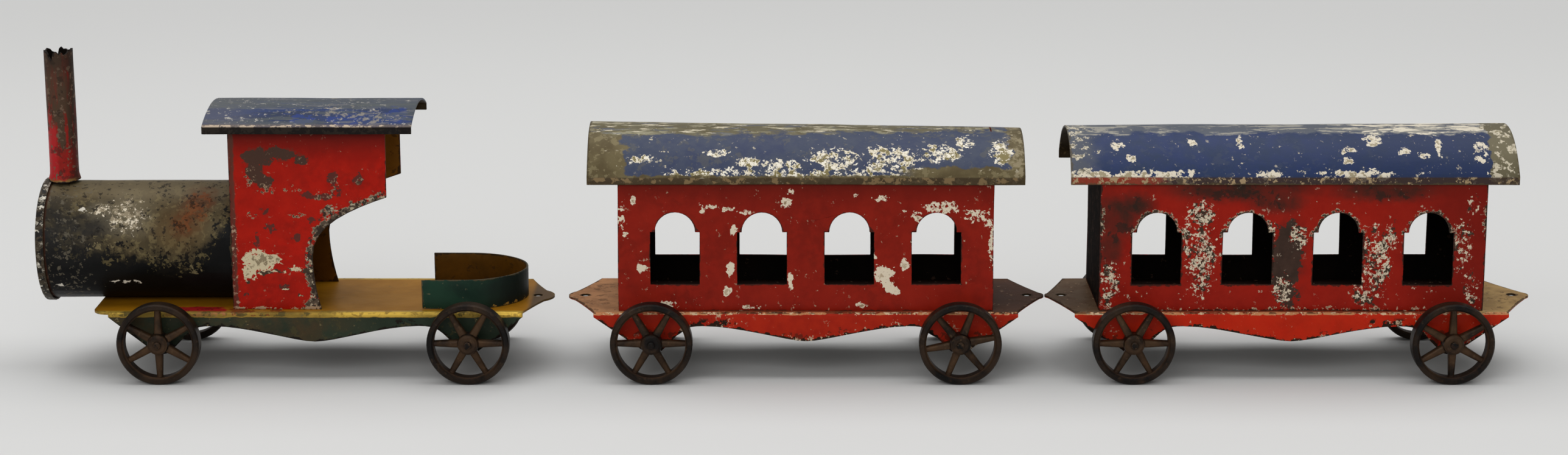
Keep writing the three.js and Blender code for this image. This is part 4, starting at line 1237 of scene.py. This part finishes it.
# %% One cast wheel
RIM_PROFILE = [(12.5, -2.0), (12.5, 2.0), (12.1, 2.5), (11.0, 2.5), (10.4, 1.8), (10.3, 0.0), (10.4, -1.8),
               (11.0, -2.5), (12.1, -2.5)]
HUB_PROFILE = [(1.2, -3.0), (2.3, -3.0), (3.0, -2.5), (3.25, -1.6), (3.25, 1.6), (3.0, 2.5), (2.3, 3.0),
               (1.2, 3.0)]
RIM_STEPS, HUB_STEPS = 72, 36
SPOKES = 6
SPOKE_INNER, SPOKE_OUTER = 2.6 * MM, 10.8 * MM
SPOKE_WIDTH, SPOKE_HEIGHT = 2.8 * MM, 2.5 * MM
SPOKE_TAPER = (1.0, 0.86, 0.68)
SPOKE_ROUND = 0.75 * MM
ORIGIN = (0, 0, 0)


def spin_profile(bm, profile, steps):
    verts = [bm.verts.new((radius * MM, along * MM, 0.0)) for radius, along in profile]
    edges = [bm.edges.new((verts[i - 1], verts[i])) for i in range(len(verts))]
    bmesh.ops.spin(bm, geom=verts + edges, cent=ORIGIN, axis=(0, 1, 0), angle=2 * math.pi, steps=steps,
                   use_merge=True)


def add_spoke(bm, angle):
    made = bmesh.ops.create_cube(bm, size=1.0)["verts"]
    middle = (SPOKE_OUTER + SPOKE_INNER) / 2
    bmesh.ops.scale(bm, vec=(SPOKE_OUTER - SPOKE_INNER, SPOKE_WIDTH, SPOKE_HEIGHT), verts=made)
    bmesh.ops.translate(bm, vec=(middle, 0, 0), verts=made)
    bmesh.ops.scale(bm, vec=SPOKE_TAPER, verts=[vert for vert in made if vert.co.x > middle])
    long_edges = {edge for vert in made for edge in vert.link_edges
                  if abs(edge.verts[0].co.x - edge.verts[1].co.x) > MM}
    rounded = round_edges(bm, list(long_edges), SPOKE_ROUND, 3, clamp=True)["faces"]
    near = {face for corner in rounded for edge in corner.edges for face in edge.link_faces}
    verts = {vert for face in near for vert in face.verts}
    bmesh.ops.rotate(bm, cent=ORIGIN, matrix=Matrix.Rotation(angle, 3, "Y"), verts=list(verts))


def cast_wheel():
    bm = bmesh.new()
    for i in range(SPOKES):
        add_spoke(bm, i * 2 * math.pi / SPOKES)
    spin_profile(bm, RIM_PROFILE, RIM_STEPS)
    spin_profile(bm, HUB_PROFILE, HUB_STEPS)
    bmesh.ops.remove_doubles(bm, verts=bm.verts, dist=WELD)
    bmesh.ops.recalc_face_normals(bm, faces=bm.faces)
    note_edges(bm, edge_finder(bm))
    note_axle(bm)
    mesh = bpy.data.meshes.new("cast_wheel_pattern")
    bm.to_mesh(mesh)
    bm.free()
    return mesh


wheel_pattern = cast_wheel()
print("one wheel has", len(wheel_pattern.polygons), "faces")

# %% Twelve wheels and six axles
WHEELSET_TURN = {"loco_front": 30, "loco_rear": 0, "coach_1_front": 0, "coach_1_rear": -10,
                 "coach_2_front": 0, "coach_2_rear": 30}
AXLE_RADIUS = 1.2 * MM
AXLE_ROUND = 0.45 * MM
AXLE_SIDES = 28


def put_in_place(bm, node, turn, axis):
    low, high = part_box(node)
    place = Matrix.Translation((low + high) / 2) @ Matrix.Rotation(turn, 4, axis)
    bmesh.ops.transform(bm, matrix=place, verts=bm.verts)
    hand_over(bm, node, iron)


def wheel_piece(node, turn):
    bm = bmesh.new()
    bm.from_mesh(wheel_pattern)
    put_in_place(bm, node, math.radians(turn), "Y")


def axle_piece(node):
    low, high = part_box(node)
    bm = bmesh.new()
    bmesh.ops.create_cone(bm, cap_ends=True, segments=AXLE_SIDES, radius1=AXLE_RADIUS, radius2=AXLE_RADIUS,
                          depth=high.y - low.y)
    finder = edge_finder(bm)
    round_edges(bm, sharp_edges(bm), AXLE_ROUND, 3)
    note_edges(bm, finder)
    put_in_place(bm, node, math.pi / 2, "X")


for wheelset, turn in WHEELSET_TURN.items():
    axle_piece(wheelset + "_axle")
    for side in ("left", "right"):
        wheel_piece(wheelset + "_" + side + "_wheel", turn)
bpy.data.meshes.remove(wheel_pattern)
print("wheelsets placed:", len(WHEELSET_TURN))

# %% [markdown]
# ## Studio
# The photograph was taken on a plain pale sweep under a large soft light from above. The floor is one large
# plane, which fades to the even grey of the sweep beyond the lamps' reach. A broad lamp overhead, a weaker
# one from the front and an even pale surrounding light the train so that colours look about as written.

# %% Floor and backdrop
FLOOR_REACH = 30.0
FADE_START, FADE_END = 0.5, 1.3
PAPER, SWEEP = "d6d6d5", "cfcfce"


def paper_finish():
    paper = bpy.data.materials.new("studio_paper")
    paper.use_nodes = True
    tree = paper.node_tree
    shader = tree.nodes["Principled BSDF"]
    for label, value in (("Base Color", tone(PAPER)), ("Roughness", 0.9), ("Specular IOR Level", 0.1)):
        shader.inputs[label].default_value = value
    far = calc_vector(tree, "LENGTH", add_node(tree, "ShaderNodeTexCoord").outputs["Object"])
    rays = add_node(tree, "ShaderNodeLightPath").outputs
    seen = calc(tree, "MAXIMUM", rays["Is Camera Ray"], rays["Is Glossy Ray"])
    seen = calc(tree, "MAXIMUM", seen, rays["Is Transmission Ray"])
    glow = add_node(tree, "ShaderNodeEmission", {"Color": tone(SWEEP), "Strength": 1.0}).outputs[0]
    share = calc(tree, "MULTIPLY", ramp(tree, far, FADE_START, FADE_END), seen)
    blend = add_node(tree, "ShaderNodeMixShader", {0: share, 1: shader.outputs[0], 2: glow}).outputs[0]
    feed(tree, tree.nodes["Material Output"].inputs["Surface"], blend)
    return paper


def studio_floor():
    bm = bmesh.new()
    bmesh.ops.create_grid(bm, x_segments=2, y_segments=2, size=FLOOR_REACH)
    mesh = bpy.data.meshes.new("studio_floor")
    bm.to_mesh(mesh)
    bm.free()
    mesh.materials.append(paper_finish())
    floor = bpy.data.objects.new("studio_floor", mesh)
    bpy.context.scene.collection.objects.link(floor)
    return floor


floor = studio_floor()
print("floor laid at z =", floor.location.z)

# %% Lamps and surroundings
SURROUNDINGS = "dcdcdb"
SURROUND_STRENGTH = 0.44


def lamp(name, place, aim, size, power):
    data = bpy.data.lights.new(name, "AREA")
    data.shape = "RECTANGLE"
    data.size, data.size_y = size
    data.energy = power
    made = bpy.data.objects.new(name, data)
    made.location = place
    made.rotation_euler = (Vector(aim) - Vector(place)).to_track_quat("-Z", "Y").to_euler()
    bpy.context.scene.collection.objects.link(made)


lamp("overhead_softbox", place=(0.0, 0.25, 1.3), aim=(0.0, 0.1, 0.0), size=(2.4, 1.4), power=18.0)
lamp("front_softbox", place=(-0.4, -1.5, 0.9), aim=(0.0, 0.0, 0.03), size=(1.6, 0.9), power=10.5)
world = bpy.data.worlds.new("studio_surroundings")
world.use_nodes = True
sky = world.node_tree.nodes["Background"]
sky.inputs["Color"].default_value = tone(SURROUNDINGS)
sky.inputs["Strength"].default_value = SURROUND_STRENGTH
bpy.context.scene.world = world
bpy.context.scene.view_settings.view_transform = "Standard"
print("lamps set")
